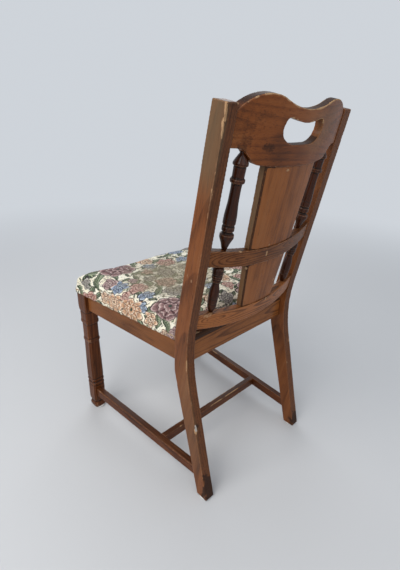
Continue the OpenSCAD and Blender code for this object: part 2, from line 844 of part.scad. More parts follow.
// A strip glued to the rear rail between its corner blocks, level with the rail's top
module rear_cleat() {
  inner = side_rail_inner(rear_rail_front);
  slant = (side_rail_inner(rear_rail_front - block_reach) - inner + block_reach) / block_reach;
  rear_half = inner - block_reach - cleat_gap;
  front_half = rear_half + cleat_width * slant;
  front = rear_rail_front - cleat_width;
  color(wood_dark) sweep_z(rail_top - cleat_height, rail_top) polygon([
    [-front_half, front], [front_half, front],
    [rear_half, rear_rail_front], [-rear_half, rear_rail_front]
  ]);
}

module rail_screw_place(rail_face, way) {
  translate([
    side_rail_inner(rail_face) - screw_share * block_reach, rail_face + way * block_seat,
    block_low + block_height / 2
  ]) rotate([-90 * way, 0, 0]) children();
}

module side_screw_place(rail_face, way) {
  y = rail_face + way * screw_share * block_reach;
  translate([side_rail_inner(y) - block_seat, y, block_low + block_height / 2])
    rotate([0, -90, 0]) children();
}

module seat_screw_place(rail_face, way) {
  translate([
    side_rail_inner(rail_face) - block_reach * 0.3, rail_face + way * block_reach * 0.3, block_low
  ]) rotate([180, 0, 0]) children();
}

// A round-headed wood screw that points down its own -Z from its seat; grow makes its hole
module screw(length, grow = 0) {
  reach = length + (grow > 0 ? hole_spare : 0);
  translate([0, 0, -reach])
    cylinder(h = grow > 0 ? reach + past : reach, r = screw_shank / 2 + grow);
  if (grow == 0) difference() {
    turned([[screw_head / 2, 0, 0], [screw_head / 2, 1.6, 1]], 2.8);
    translate([-screw_head, -0.5, 1.8]) cube([2 * screw_head, 1, 2]);
  }
}

// The wide hole that lets a screw's head down to its seat
module screw_seat() {
  cylinder(h = block_reach, r = screw_head / 2 + 0.6);
}

module block_screws() {
  color(steel) both_sides() {
    rail_screw_place(front_rail_back, 1) screw(block_screw);
    side_screw_place(front_rail_back, 1) screw(block_screw);
    rail_screw_place(rear_rail_front, -1) screw(block_screw);
    side_screw_place(rear_rail_front, -1) screw(block_screw);
  }
}

module seat_screw_set(grow = 0) {
  both_sides() {
    seat_screw_place(front_rail_back, 1) screw(seat_screw, grow);
    seat_screw_place(rear_rail_front, -1) screw(seat_screw, grow);
  }
}

module seat_screws() {
  color(steel) seat_screw_set();
}

// ---- seat ----

seat_front_y = -overall_depth / 2;
crown_drop = seat_crown - seat_edge;
seat_half_length = (seat_rear_y - seat_front_y) / 2;
seat_half_width = (seat_front_half + seat_rear_half) / 2;
seat_side_angle = atan((seat_front_half - seat_rear_half) / (seat_rear_y - seat_front_y));
crown_radius_x = (seat_half_width * seat_half_width + crown_drop * crown_drop) / (2 * crown_drop);
crown_radius_y = (seat_half_length * seat_half_length + crown_drop * crown_drop) / (2 * crown_drop);

module seat_outline(inset) {
  corner = max(seat_corner - inset, 3);
  polygon(rounded([
    [-(seat_front_half - inset), seat_front_y + inset, corner],
    [seat_front_half - inset, seat_front_y + inset, corner],
    [seat_rear_half - inset, seat_rear_y - inset, max(8 - inset, 3)],
    [-(seat_rear_half - inset), seat_rear_y - inset, max(8 - inset, 3)]
  ]));
}

// A block with two rounded upper edges, drawn across its length and as long as asked
module rounded_block(low, from, to, length, inset) {
  top = rail_top + seat_crown - inset;
  radius = seat_round - inset;
  linear_extrude(length) polygon(rounded([
    [from, low, 0], [to, low, 0], [to, top, radius], [from, top, radius]
  ]));
}

// The same block set along the seat's slanting left edge and reaching past its right one
module side_block(low, inset) {
  translate([seat_front_half, seat_front_y, 0]) rotate([90, 0, seat_side_angle])
    translate([0, 0, -overall_depth])
      rounded_block(low, -2 * overall_depth, -inset, 2 * overall_depth, inset);
}

// The cushion's crowned shape above a level, its skin set in by an inset
module crowned(low, inset) {
  intersection() {
    sweep_z(low, rail_top + seat_crown + past) seat_outline(inset);
    translate([-overall_depth, 0, 0]) rotate([90, 0, 90])
      rounded_block(low, seat_front_y + inset, seat_rear_y - inset, 2 * overall_depth, inset);
    side_block(low, inset);
    right_side() side_block(low, inset);
    translate([0, overall_depth, rail_top + seat_crown - crown_radius_x]) rotate([90, 0, 0])
      cylinder(h = 2 * overall_depth, r = crown_radius_x - inset, $fn = bow_fn);
    translate([-overall_depth, (seat_front_y + seat_rear_y) / 2, rail_top + seat_crown - crown_radius_y])
      rotate([0, 90, 0])
        cylinder(h = 2 * overall_depth, r = crown_radius_y - inset, $fn = bow_fn);
  }
}

module seat_board() {
  color(raw_wood) difference() {
    intersection() {
      crowned(board_low, cover_thickness);
      sweep_z(board_low - past, board_top) square(4 * overall_depth, center = true);
    }
    seat_screw_set(fit);
    tack_places() tack(fit);
  }
}

module seat_padding() {
  color(foam) crowned(board_top, cover_thickness);
}

module seat_cover() {
  color(cloth) difference() {
    crowned(rail_top, 0);
    crowned(board_low, cover_thickness);
    sweep_z(rail_top - past, board_low + past) seat_outline(cover_turn);
    seat_screw_set(fit);
    tack_places() tack(fit);
  }
}

// Tacks through the turned-under cloth, inboard of the rails
tack_inset = 40;
tack_head = 6;
tack_shank = 1.6;
tacks_a_side = 5;

module tack_places() {
  front_half = side_rail_inner(front_rail_back) - block_reach * 0.6;
  rear_half = side_rail_inner(rear_rail_front) - block_reach * 0.45;
  side_front = front_rail_back + block_reach * 0.5;
  side_rear = post_front - block_reach * 0.7;
  for (i = [0 : tacks_a_side - 1]) {
    share = i / (tacks_a_side - 1);
    y = side_front + share * (side_rear - side_front);
    half = seat_front_half + (seat_rear_half - seat_front_half)
      * (y - seat_front_y) / (seat_rear_y - seat_front_y) - tack_inset;
    translate([(2 * share - 1) * front_half, seat_front_y + tack_inset, rail_top]) children();
    translate([(2 * share - 1) * rear_half, seat_rear_y - tack_inset * 0.6, rail_top]) children();
    translate([half, y, rail_top]) children();
    translate([-half, y, rail_top]) children();
  }
}

// A tack driven upwards through the cloth from its head
module tack(grow = 0) {
  spare = grow > 0 ? past : 0;
  translate([0, 0, -spare]) cylinder(h = 8 + 2 * spare, r = tack_shank / 2 + grow);
  if (grow == 0) translate([0, 0, -0.8]) cylinder(h = 0.8, r = tack_head / 2);
}

module cover_tacks() {
  color(steel) tack_places() tack();
}

module stretcher_dowels() {
  color(raw_wood) both_sides() {
    stretcher_dowel();
    cross_dowel();
  }
}

// ---- glides ----

module front_glide_place() {
  translate([leg_foot_x, glide_offset - leg_foot_y, 0]) children();
}

module rear_glide_place() {
  translate([(post_inner + post_outer_foot) / 2, foot_rear - foot_depth / 2 - 1, 0]) children();
}

// A disc with a domed underside and a pocket for its nail's head
module glide() {
  radius = glide_diameter / 2;
  color(glide_white) difference() {
    turned([[radius * 0.55, 0, 0], [radius - 0.6, glide_height * 0.35, 3], [radius, glide_height, 0]],
      glide_height);
    glide_nail(fit);
    translate([0, 0, -past]) cylinder(h = past + 2.2, r = 2.6);
  }
}

module glide_nail(grow = 0) {
  translate([0, 0, 1.2]) cylinder(h = 20, r = nail_diameter / 2 + grow);
  if (grow == 0) translate([0, 0, 1.2]) cylinder(h = 1, r = 2.4);
}

module glide_nails() {
  color(steel) both_sides() {
    front_glide_place() glide_nail();
    rear_glide_place() glide_nail();
  }
}

// ---- nodes ----

post();  // back_post_left
right_side() post();  // back_post_right
crest_rail();
mid_rail();
lower_rail();
upper_splat();
lower_splat();
upper_spindle();  // upper_spindle_left
right_side() upper_spindle();  // upper_spindle_right
lower_spindle();  // lower_spindle_left
right_side() lower_spindle();  // lower_spindle_right
rear_seat_rail();
front_seat_rail();
side_seat_rail();  // side_seat_rail_left
right_side() side_seat_rail();  // side_seat_rail_right
front_leg();  // front_leg_left
right_side() front_leg();  // front_leg_right
side_stretcher();  // side_stretcher_left
right_side() side_stretcher();  // side_stretcher_right
cross_stretcher();
front_block();  // corner_block_front_left
right_side() front_block();  // corner_block_front_right
rear_block();  // corner_block_rear_left
right_side() rear_block();  // corner_block_rear_right
rear_cleat();
seat_board();
seat_padding();
seat_cover();
seat_screws();
block_screws();
cover_tacks();
color(raw_wood) both_sides() bow_dowels(crest_dowel_heights);  // crest_dowels
color(raw_wood) both_sides() bow_dowels(mid_dowel_heights);  // mid_rail_dowels
color(raw_wood) both_sides() bow_dowels(lower_dowel_heights);  // lower_rail_dowels
color(raw_wood) both_sides() rear_rail_dowel();  // rear_rail_dowels
color(raw_wood) both_sides() front_rail_dowel();  // front_rail_dowels
color(raw_wood) both_sides() side_rail_dowel();  // side_rail_dowels
stretcher_dowels();
front_glide_place() glide();  // front_glide_left
right_side() front_glide_place() glide();  // front_glide_right
rear_glide_place() glide();  // rear_glide_left
right_side() rear_glide_place() glide();  // rear_glide_right
glide_nails();
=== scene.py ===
"""A worn wooden dining chair with a tapestry slip seat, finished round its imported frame."""

import itertools
import json
import logging
import math
import random
from dataclasses import dataclass, field
from enum import Enum
from typing import Optional, Sequence, Union

import bpy
import numpy as np
from mathutils import Matrix, Vector

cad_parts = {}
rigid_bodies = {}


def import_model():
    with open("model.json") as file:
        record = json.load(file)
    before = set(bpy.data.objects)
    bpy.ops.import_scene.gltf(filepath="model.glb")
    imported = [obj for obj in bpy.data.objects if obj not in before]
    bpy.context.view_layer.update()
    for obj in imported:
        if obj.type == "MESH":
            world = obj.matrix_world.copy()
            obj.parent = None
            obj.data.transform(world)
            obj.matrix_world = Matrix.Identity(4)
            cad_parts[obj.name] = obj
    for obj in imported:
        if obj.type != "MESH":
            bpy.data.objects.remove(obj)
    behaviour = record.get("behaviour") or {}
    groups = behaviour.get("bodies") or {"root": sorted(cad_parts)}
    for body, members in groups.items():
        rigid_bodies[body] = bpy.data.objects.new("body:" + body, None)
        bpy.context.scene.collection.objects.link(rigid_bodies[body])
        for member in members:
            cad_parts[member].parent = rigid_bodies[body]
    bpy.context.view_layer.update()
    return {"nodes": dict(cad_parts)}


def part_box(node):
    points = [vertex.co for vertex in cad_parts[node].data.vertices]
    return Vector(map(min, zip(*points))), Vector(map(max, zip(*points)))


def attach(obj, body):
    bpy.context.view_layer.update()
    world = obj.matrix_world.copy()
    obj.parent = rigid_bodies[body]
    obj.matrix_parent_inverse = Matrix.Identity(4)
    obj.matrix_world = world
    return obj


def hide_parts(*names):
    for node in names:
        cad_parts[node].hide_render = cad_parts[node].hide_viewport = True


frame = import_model()
log = logging.getLogger("chair")

MM = 0.001
BODY = "root"
SIDES = ("left", "right")
RAKE = math.radians(9.65)  # lean of the back
WELD = 1e-5  # vertices nearer than this are merged
PULL = 0.65  # share by which a value moves to its neighbours' average
ARRIS_REACH = 48e-6  # rounds of smoothing times the square of the mesh size
LUMPS = ((0.075, 0), (0.019, 11), (0.006, 23))  # width of a lump and shift of its seed
NOWHERE = -60.0  # stored where no motif reaches, in millimetres
HALF_HUE = 0.10  # half of a hue's step in the palette
Triple = tuple[float, float, float]
Colour = Triple
Pair = tuple[Colour, Colour]
Number = Union[float, "Wire"]


# ---- shader bench ----


@dataclass(frozen=True)
class Wire:
    """An output socket that takes part in shader maths.

    Args:
        bench: The material bench that the socket belongs to.
        socket: The node's output socket.
    """

    bench: "Bench"
    socket: bpy.types.NodeSocket

    def __add__(self, other: Number) -> "Wire":
        """self + other."""
        return self.bench.math("ADD", self, other)

    def __radd__(self, other: Number) -> "Wire":
        """other + self."""
        return self.bench.math("ADD", other, self)

    def __sub__(self, other: Number) -> "Wire":
        """self - other."""
        return self.bench.math("SUBTRACT", self, other)

    def __rsub__(self, other: Number) -> "Wire":
        """other - self."""
        return self.bench.math("SUBTRACT", other, self)

    def __mul__(self, other: Number) -> "Wire":
        """self * other."""
        return self.bench.math("MULTIPLY", self, other)

    def __rmul__(self, other: Number) -> "Wire":
        """other * self."""
        return self.bench.math("MULTIPLY", other, self)

    def __abs__(self) -> "Wire":
        """The size of self without its sign."""
        return self.bench.math("ABSOLUTE", self)

    def rise(self, low: float, high: float) -> "Wire":
        """A smooth step from 0 at low to 1 at high, or a fall where low is above high.

        Args:
            low: The value that gives 0.
            high: The value that gives 1.

        Returns:
            The stepped value.
        """
        start, end, first, last = (low, high, 0.0, 1.0) if low < high else (high, low, 1.0, 0.0)
        return self.bench.node(
            "ShaderNodeMapRange",
            {"interpolation_type": "SMOOTHSTEP"},
            {0: self, 1: start, 2: end, 3: first, 4: last},
        )


class Bench:
    """The node tree of one material or world, built with as few words as the job allows."""

    def __init__(self, owner: Union[bpy.types.Material, bpy.types.World]) -> None:
        """Empties the owner's node tree.

        Args:
            owner: The new material or world.
        """
        self.owner = owner
        owner.use_nodes = True
        self.tree = owner.node_tree
        self.tree.nodes.clear()

    @classmethod
    def material(cls, name: str) -> "Bench":
        """A bench for a new material."""
        return cls(bpy.data.materials.new(name))

    def node(
        self,
        kind: str,
        settings: Optional[dict] = None,
        sockets: Optional[dict] = None,
        out: Union[int, str] = 0,
    ) -> Optional[Wire]:
        """Adds a node, sets it up and wires its inputs.

        Args:
            kind: The node's type.
            settings: Properties set first; "stops" gives a ramp's (place, colour) pairs.
            sockets: Input values or wires by socket name or number.
            out: The output socket that is returned.

        Returns:
            The chosen output, if the node has any.
        """
        made = self.tree.nodes.new(kind)
        for key, value in (settings or {}).items():
            if key == "stops":
                ramp = made.color_ramp.elements
                while len(ramp) < len(value):
                    ramp.new(0.5)
                for stop, (place, colour) in zip(ramp, value):
                    stop.position = place
                    stop.color = (*colour, 1.0)
            elif key == "interpolation":
                made.color_ramp.interpolation = value
            else:
                setattr(made, key, value)
        for key, value in (sockets or {}).items():
            if isinstance(value, Wire):
                self.tree.links.new(value.socket, made.inputs[key])
            elif isinstance(value, tuple) and made.inputs[key].type == "RGBA":
                made.inputs[key].default_value = (*value, 1.0)
            else:
                made.inputs[key].default_value = value
        return Wire(self, made.outputs[out]) if made.outputs else None

    def math(self, operation: str, first: Number, second: Number = 0.0) -> Wire:
        """One Math node on numbers or wires."""
        return self.node("ShaderNodeMath", {"operation": operation}, {0: first, 1: second})

    def mix(self, share: Number, first: object, second: object, blend: str = "MIX") -> Wire:
        """Blends two colours.

        Args:
            share: How much of the second colour shows.
            first: The colour or wire below.
            second: The colour or wire on top.
            blend: The blend type.

        Returns:
            The blended colour.
        """
        settings = {"data_type": "RGBA", "blend_type": blend}
        return self.node("ShaderNodeMix", settings, {0: share, 6: first, 7: second}, 2)

    def ramp(self, share: Wire, stops: Sequence[tuple[float, Colour]], hard: bool = False) -> Wire:
        """Turns a value into a colour by (place, colour) stops, in steps if hard is set."""
        settings = {"stops": stops, "interpolation": "CONSTANT" if hard else "LINEAR"}
        return self.node("ShaderNodeValToRGB", settings, {0: share})

    def place(
        self,
        turn: Triple = (0.0, 0.0, 0.0),
        move: Triple = (0.0, 0.0, 0.0),
        scale: Triple = (1.0, 1.0, 1.0),
        source: Optional[Wire] = None,
    ) -> Wire:
        """Coordinates of the piece, scaled, turned and then moved."""
        source = source or self.node("ShaderNodeTexCoord", out="Object")
        return self.node(
            "ShaderNodeMapping",
            {},
            {"Vector": source, "Rotation": turn, "Location": move, "Scale": scale},
        )

    def attribute(self, name: str, out: str = "Fac") -> Wire:
        """Reads an attribute of the piece's own mesh."""
        return self.node("ShaderNodeAttribute", {"attribute_name": name}, {}, out)

    def split(self, vector: Wire) -> tuple[Wire, Wire, Wire]:
        """The three parts of a vector."""
        first = self.node("ShaderNodeSeparateXYZ", {}, {0: vector})
        outputs = first.socket.node.outputs
        return first, Wire(self, outputs[1]), Wire(self, outputs[2])

    def noise(self, vector: Wire, scale: float, detail: float = 2.0, rough: float = 0.5) -> Wire:
        """Smooth noise round 0.5."""
        sockets = {"Vector": vector, "Scale": scale, "Detail": detail, "Roughness": rough}
        return self.node("ShaderNodeTexNoise", {}, sockets)

    def fibre(self, lie: Wire, along: float, across: float, detail: float, rough: float) -> Wire:
        """Noise drawn out along the grain, by its waves a metre along and across it."""
        return self.noise(self.place(scale=(along, across, across), source=lie), 1.0, detail, rough)

    def bump(self, height: Wire, distance: float, strength: float = 1.0) -> Wire:
        """A normal that follows a height."""
        sockets = {"Height": height, "Distance": distance, "Strength": strength}
        return self.node("ShaderNodeBump", {}, sockets)

    def seen(self) -> Wire:
        """1 for rays from the camera, off a glossy surface or through a clear one."""
        rays = ("Is Camera Ray", "Is Glossy Ray", "Is Transmission Ray")
        return sum(self.node("ShaderNodeLightPath", out=ray) for ray in rays)

    def finish(self, sockets: dict) -> bpy.types.Material:
        """Closes the material with a Principled shader.

        Args:
            sockets: The shader's input values or wires.

        Returns:
            The finished material.
        """
        shader = self.node("ShaderNodeBsdfPrincipled", {}, sockets)
        self.node("ShaderNodeOutputMaterial", {}, {"Surface": shader})
        return self.owner


# ---- finishes ----


class Grain(Enum):
    """The turn that lays a piece's grain along X."""

    ACROSS = (0.0, 0.0, 0.0)
    DEPTH = (0.0, 0.0, math.radians(-90.0))
    UP = (0.0, math.radians(90.0), 0.0)
    RAKED = (RAKE, math.radians(90.0), 0.0)


@dataclass(frozen=True)
class StainedWood:
    """Open-grained wood under an old brown stain and varnish, rubbed bare on its edges.

    Args:
        name: The finish's name.
        dark: Colour of the late wood and the thick stain.
        deep: Colour of the darker half of the figure.
        warm: Colour of the lighter half of the figure.
        bright: Colour of the palest streaks.
        bare: Colour of the early wood where the finish is gone.
        bare_late: Colour of the late wood where the finish is gone.
        rubbed: Colour of the wood where the finish is thin.
        scuffed: Colour of fine scratches.
        weathered: Colour that the stain greys to.
        silvered: Colour of bare wood that has greyed.
        soil: Colour of old dirt and of the painted shade.
        ring: Strength of the growth rings.
        ring_pitch: Distance between growth rings, in metres.
        wander: How far the rings wander, in metres.
        taper: How much the rings widen along the grain.
        cloud: Strength of the broad light and dark patches.
        streak: Strength of the fine streaks along the grain.
        sharp: Roughness of the varnish.
    """

    name: str = "stained_wood"
    dark: Colour = (0.020, 0.007, 0.003)
    deep: Colour = (0.074, 0.022, 0.006)
    warm: Colour = (0.158, 0.047, 0.012)
    bright: Colour = (0.250, 0.092, 0.028)
    bare: Colour = (0.45, 0.285, 0.155)
    bare_late: Colour = (0.27, 0.145, 0.07)
    rubbed: Colour = (0.27, 0.135, 0.07)
    scuffed: Colour = (0.26, 0.14, 0.08)
    weathered: Colour = (0.120, 0.084, 0.047)
    silvered: Colour = (0.42, 0.40, 0.38)
    soil: Colour = (0.014, 0.008, 0.006)
    gloss: float = 0.20
    ring: float = 0.35
    ring_pitch: float = 0.008
    wander: float = 0.030
    taper: float = 0.035
    cloud: float = 0.60
    streak: float = 0.50
    sharp: float = 0.22

    def material(self, grain: Grain, seed: int, pith: tuple[float, float]) -> bpy.types.Material:
        """Mixes the finish for one piece.

        Args:
            grain: The way the piece's grain runs.
            seed: Shifts the pattern so that no two pieces match.
            pith: Offset of the growth rings' middle from the piece, across the grain.

        Returns:
            The piece's material.
        """
        b = Bench.material(f"{self.name}_{seed}")
        lie = b.place(grain.value, (seed * 0.731 % 1.0 * 2.0, -pith[0], -pith[1]))
        streaks = b.fibre(lie, 4.5, 120.0, 3.0, 0.6)
        fibres = b.fibre(lie, 26.0, 640.0, 2.0, 0.6)
        blotches = b.fibre(lie, 6.6, 11.0, 3.0, 0.5)
        grit = b.fibre(lie, 150.0, 430.0, 3.0, 0.7)
        scratches = b.fibre(lie, 7.0, 820.0, 1.0, 0.5)
        pores = fibres.rise(0.41, 0.33)
        ring = self.rings(b, lie)
        grey = b.attribute("grey")

        tone = 0.60 - ring * self.ring + (streaks - 0.5) * self.streak + (fibres - 0.5) * 0.26
        tone = tone + (blotches - 0.5) * self.cloud
        tints = [(0.05, self.dark), (0.32, self.deep), (0.60, self.warm), (0.95, self.bright)]
        stain = b.mix(pores * 0.45, b.ramp(tone, tints), self.dark)
        # The grey attribute moves the stain toward the weathered colour; on the left post's outer
        # face this is painted sheen as well as weathering.
        stain = b.mix(grey * (0.8 + (streaks - 0.5) * 0.7), stain, self.weathered)
        raw = b.mix(streaks, self.bare, self.bare_late)
        raw = b.mix(grey.rise(0.82, 1.0) * 0.85, raw, self.silvered)

        ragged = b.attribute("wear") + (grit - 0.5) * 0.7
        thinned = ragged.rise(0.24, 0.50)
        chipped = ragged.rise(0.58, 0.66)
        # The darkening attribute read here holds dirt and painted shade: rear faces, shadowed tops
        # and rearward arrises.
        dirt_and_shade = (b.attribute("grime") * 1.1 + (grit - 0.5) * 0.45).rise(0.18, 0.62)
        scored = scratches.rise(0.70, 0.76) * blotches.rise(0.5, 0.62)
        # The rubbed colour also paints highlights along the crests of rings and beads.
        colour = b.mix(thinned * 0.55, stain, self.rubbed)
        colour = b.mix(dirt_and_shade * 0.85, colour, self.soil)
        colour = b.mix(chipped, colour, raw)
        colour = b.mix(scored * 0.45, colour, self.scuffed)

        matt = chipped * 0.35 + dirt_and_shade * 0.2 + grey * 0.15 + scored * 0.12
        height = fibres * 0.35 - pores * 0.5 - chipped * 1.2 - ring * 0.10
        return b.finish(
            {
                "Base Color": colour,
                "Roughness": matt + 0.40,
                "Specular IOR Level": 0.08,
                "Coat Weight": (1.0 - chipped) * (1.0 - dirt_and_shade * 0.5) * self.gloss,
                "Coat Roughness": self.sharp,
                "Normal": b.bump(height, 0.0005, 0.5),
            }
        )

    def rings(self, b: Bench, lie: Wire) -> Wire:
        """The late wood of each year, from its slow start to its sharp end."""
        along, left, over = b.split(lie)
        drift = b.fibre(lie, 3.2, 11.0, 2.0, 0.45)
        radius = b.math("SQRT", left * left + over * over)
        radius = radius + along * self.taper + (drift - 0.5) * self.wander
        year = b.math("FRACT", radius * (1.0 / self.ring_pitch))
        return year.rise(0.45, 0.90) * year.rise(1.0, 0.94)


@dataclass(frozen=True)
class BareWood:
    """Unstained wood, dusty and a little stained by age.

    Args:
        name: The finish's name.
        pale: Colour of the early wood.
        brown: Colour of the late wood.
        dusty: Colour of the dust on it.
    """

    name: str = "bare_wood"
    pale: Colour = (0.46, 0.32, 0.185)
    brown: Colour = (0.26, 0.155, 0.08)
    dusty: Colour = (0.20, 0.165, 0.125)

    def material(self, grain: Grain, seed: int) -> bpy.types.Material:
        """Mixes the finish for one piece whose grain runs as given."""
        b = Bench.material(f"{self.name}_{seed}")
        lie = b.place(grain.value, (seed * 0.377, 0.03, 0.05))
        streaks = b.fibre(lie, 5.0, 130.0, 4.0, 0.6)
        dust = b.noise(lie, 18.0, 4.0, 0.6)
        colour = b.ramp(streaks, [(0.3, self.brown), (0.7, self.pale)])
        colour = b.mix(dust.rise(0.45, 0.7) * 0.4, colour, self.dusty)
        normal = b.bump(streaks, 0.0006, 0.6)
        return b.finish({"Base Color": colour, "Roughness": 0.72 + dust * 0.2, "Normal": normal})


@dataclass(frozen=True)
class PlatedSteel:
    """Dull plated steel with a bloom of rust.

    Args:
        name: The finish's name.
        bright: Colour of the plating.
        rust: Colour of the rust.
    """

    name: str = "plated_steel"
    bright: Colour = (0.42, 0.41, 0.39)
    rust: Colour = (0.16, 0.065, 0.028)

    def material(self) -> bpy.types.Material:
        """Mixes the finish."""
        b = Bench.material(self.name)
        lie = b.place()
        bloom = b.noise(lie, 420.0, 4.0, 0.65).rise(0.5, 0.62)
        colour = b.mix(bloom, self.bright, self.rust)
        return b.finish(
            {
                "Base Color": colour,
                "Metallic": 1.0 - bloom * 0.85,
                "Roughness": 0.38 + bloom * 0.4,
                "Normal": b.bump(bloom, 0.0002, 0.5),
            }
        )


@dataclass(frozen=True)
class GlidePlastic:
    """Hard white plastic, scuffed and grubby underneath.

    Args:
        name: The finish's name.
        clean: Colour of the plastic.
        grubby: Colour of its scuffs.
        soiled_to: Level that the soil reaches, in metres.
    """

    name: str = "glide_plastic"
    clean: Colour = (0.88, 0.87, 0.83)
    grubby: Colour = (0.42, 0.37, 0.30)
    soiled_to: float = 0.003

    def material(self) -> bpy.types.Material:
        """Mixes the finish."""
        b = Bench.material(self.name)
        lie = b.place()
        scuffs = b.noise(lie, 260.0, 5.0, 0.7)
        _, _, height = b.split(lie)
        low = height.rise(self.soiled_to, 0.0002)
        soil = scuffs.rise(0.50, 0.68) * (0.2 + low * 0.6)
        colour = b.mix(soil, self.clean, self.grubby)
        normal = b.bump(scuffs, 0.0002, 0.6)
        return b.finish({"Base Color": colour, "Roughness": 0.45 + soil * 0.3, "Normal": normal})


# ---- mesh work ----


def select_only(*pieces: bpy.types.Object) -> None:
    """Leaves just these objects selected, the first one active."""
    for other in bpy.context.scene.objects:
        other.select_set(False)
    for piece in pieces:
        piece.select_set(True)
    bpy.context.view_layer.objects.active = pieces[0]


def shape_with(piece: bpy.types.Object, kind: str, **settings: object) -> None:
    """Adds a modifier to a piece and applies it.

    Args:
        piece: The piece to shape.
        kind: The modifier's type.
        settings: The modifier's properties.
    """
    select_only(piece)
    modifier = piece.modifiers.new(kind.lower(), kind)
    for key, value in settings.items():
        setattr(modifier, key, value)
    bpy.ops.object.modifier_apply(modifier=modifier.name)


def merged_copy(name: str, *nodes: str) -> bpy.types.Object:
    """One object with merged copies of some CAD nodes' meshes.

    Args:
        name: The new object's name.
        nodes: The CAD nodes.

    Returns:
        The new object.
    """
    copies = []
    for node in nodes:
        mesh = frame["nodes"][node].data.copy()
        mesh.materials.clear()
        copy = bpy.data.objects.new(name, mesh)
        bpy.context.scene.collection.objects.link(copy)
        copies.append(copy)
    select_only(*copies)
    if len(copies) > 1:
        bpy.ops.object.join()
    bpy.ops.object.mode_set(mode="EDIT")
    bpy.ops.mesh.select_all(action="SELECT")
    bpy.ops.mesh.remove_doubles(threshold=WELD)
    bpy.ops.object.mode_set(mode="OBJECT")
    piece = copies[0]
    piece.name = name
    piece.data.name = name
    return piece


def rows(items: bpy.types.bpy_prop_collection, key: str) -> np.ndarray:
    """Reads one vector from each item of a mesh, as rows of x, y, z."""
    flat = np.empty(len(items) * 3)
    items.foreach_get(key, flat)
    return flat.reshape(-1, 3)


def vertex_places(mesh: bpy.types.Mesh) -> np.ndarray:
    """The vertices' places."""
    return rows(mesh.vertices, "co")


def vertex_normals(mesh: bpy.types.Mesh) -> np.ndarray:
    """The vertices' normals."""
    return rows(mesh.vertex_normals, "vector")


def put_vertices(mesh: bpy.types.Mesh, places: np.ndarray) -> None:
    """Moves the vertices to new places."""
    mesh.vertices.foreach_set("co", places.ravel())
    mesh.update()


def store(mesh: bpy.types.Mesh, name: str, values: np.ndarray) -> None:
    """Keeps a number or a vector for each vertex as an attribute."""
    vector = values.ndim == 2
    layer = mesh.attributes.new(name, "FLOAT_VECTOR" if vector else "FLOAT", "POINT")
    layer.data.foreach_set("vector" if vector else "value", values.astype(np.float32).ravel())


def relaxed(mesh: bpy.types.Mesh, values: np.ndarray, rounds: int) -> np.ndarray:
    """Pulls values towards their neighbours' average, several times over.

    Args:
        mesh: The mesh whose edges join neighbours.
        values: One row for each vertex.
        rounds: How many times to pull.

    Returns:
        The evened rows.
    """
    ends = np.empty(len(mesh.edges) * 2, int)
    mesh.edges.foreach_get("vertices", ends)
    ends = ends.reshape(-1, 2)
    here = np.concatenate([ends[:, 0], ends[:, 1]])
    there = np.concatenate([ends[:, 1], ends[:, 0]])
    count = np.maximum(np.bincount(here, minlength=len(values)), 1)
    for _ in range(rounds):
        columns = [
            np.bincount(here, weights=column, minlength=len(values)) / count
            for column in values[there].T
        ]
        values = values * (1.0 - PULL) + np.stack(columns, 1) * PULL
    return values


def lumps(places: np.ndarray, size: float, seed: int) -> np.ndarray:
    """Smooth repeatable noise from 0 to 1.

    Args:
        places: Rows of x, y, z in metres.
        size: Width of a lump in metres.
        seed: Picks the pattern.

    Returns:
        One value for each row.
    """
    spots = places / size + seed * 7.137
    cell = np.floor(spots).astype(np.int64)
    part = spots - cell
    part = part * part * (3.0 - 2.0 * part)
    total = np.zeros(len(places))
    for corner in itertools.product((0, 1), repeat=3):
        at = cell + np.array(corner)
        mixed = at[:, 0] * 73856093 ^ at[:, 1] * 19349663 ^ at[:, 2] * 83492791 ^ seed * 40503
        mixed = (mixed * 1103515245 + 12345) & 0x7FFFFFFF
        share = np.prod(np.where(np.array(corner) == 1, part, 1.0 - part), axis=1)
        total += share * ((mixed >> 9) & 0xFFFF) / 65535.0
    return total


def step(values: np.ndarray, low: float, high: float) -> np.ndarray:
    """A smooth step from 0 at low to 1 at high."""
    share = np.clip((values - low) / (high - low), 0.0, 1.0)
    return share * share * (3.0 - 2.0 * share)


@dataclass(frozen=True)
class Mark:
    """A knock, a rubbed patch, a stain, a greyed patch or a painted shadow line along arrises.

    Args:
        at: Its middle, in millimetres.
        reach: Its half width along X, Y and Z, in millimetres.
        wear: How bare the wood is.
        depth: How deep the wood is gone at its middle, in millimetres.
        dirt_and_shade: How dark the wood is.
        grey: How weathered the wood is; on the left post's outer face it is also painted sheen.
        arris_shadow: How dark the rearward arrises inside it are.
    """

    at: Triple
    reach: Triple
    wear: float = 0.0
    depth: float = 0.0
    dirt_and_shade: float = 0.0
    grey: float = 0.0
    rub: float = 0.0
    arris_shadow: float = 0.0

    def away(self, places: np.ndarray) -> np.ndarray:
        """How far each point is from the middle, where 1 is the mark's rim."""
        return np.linalg.norm((places / MM - self.at) / self.reach, axis=1)


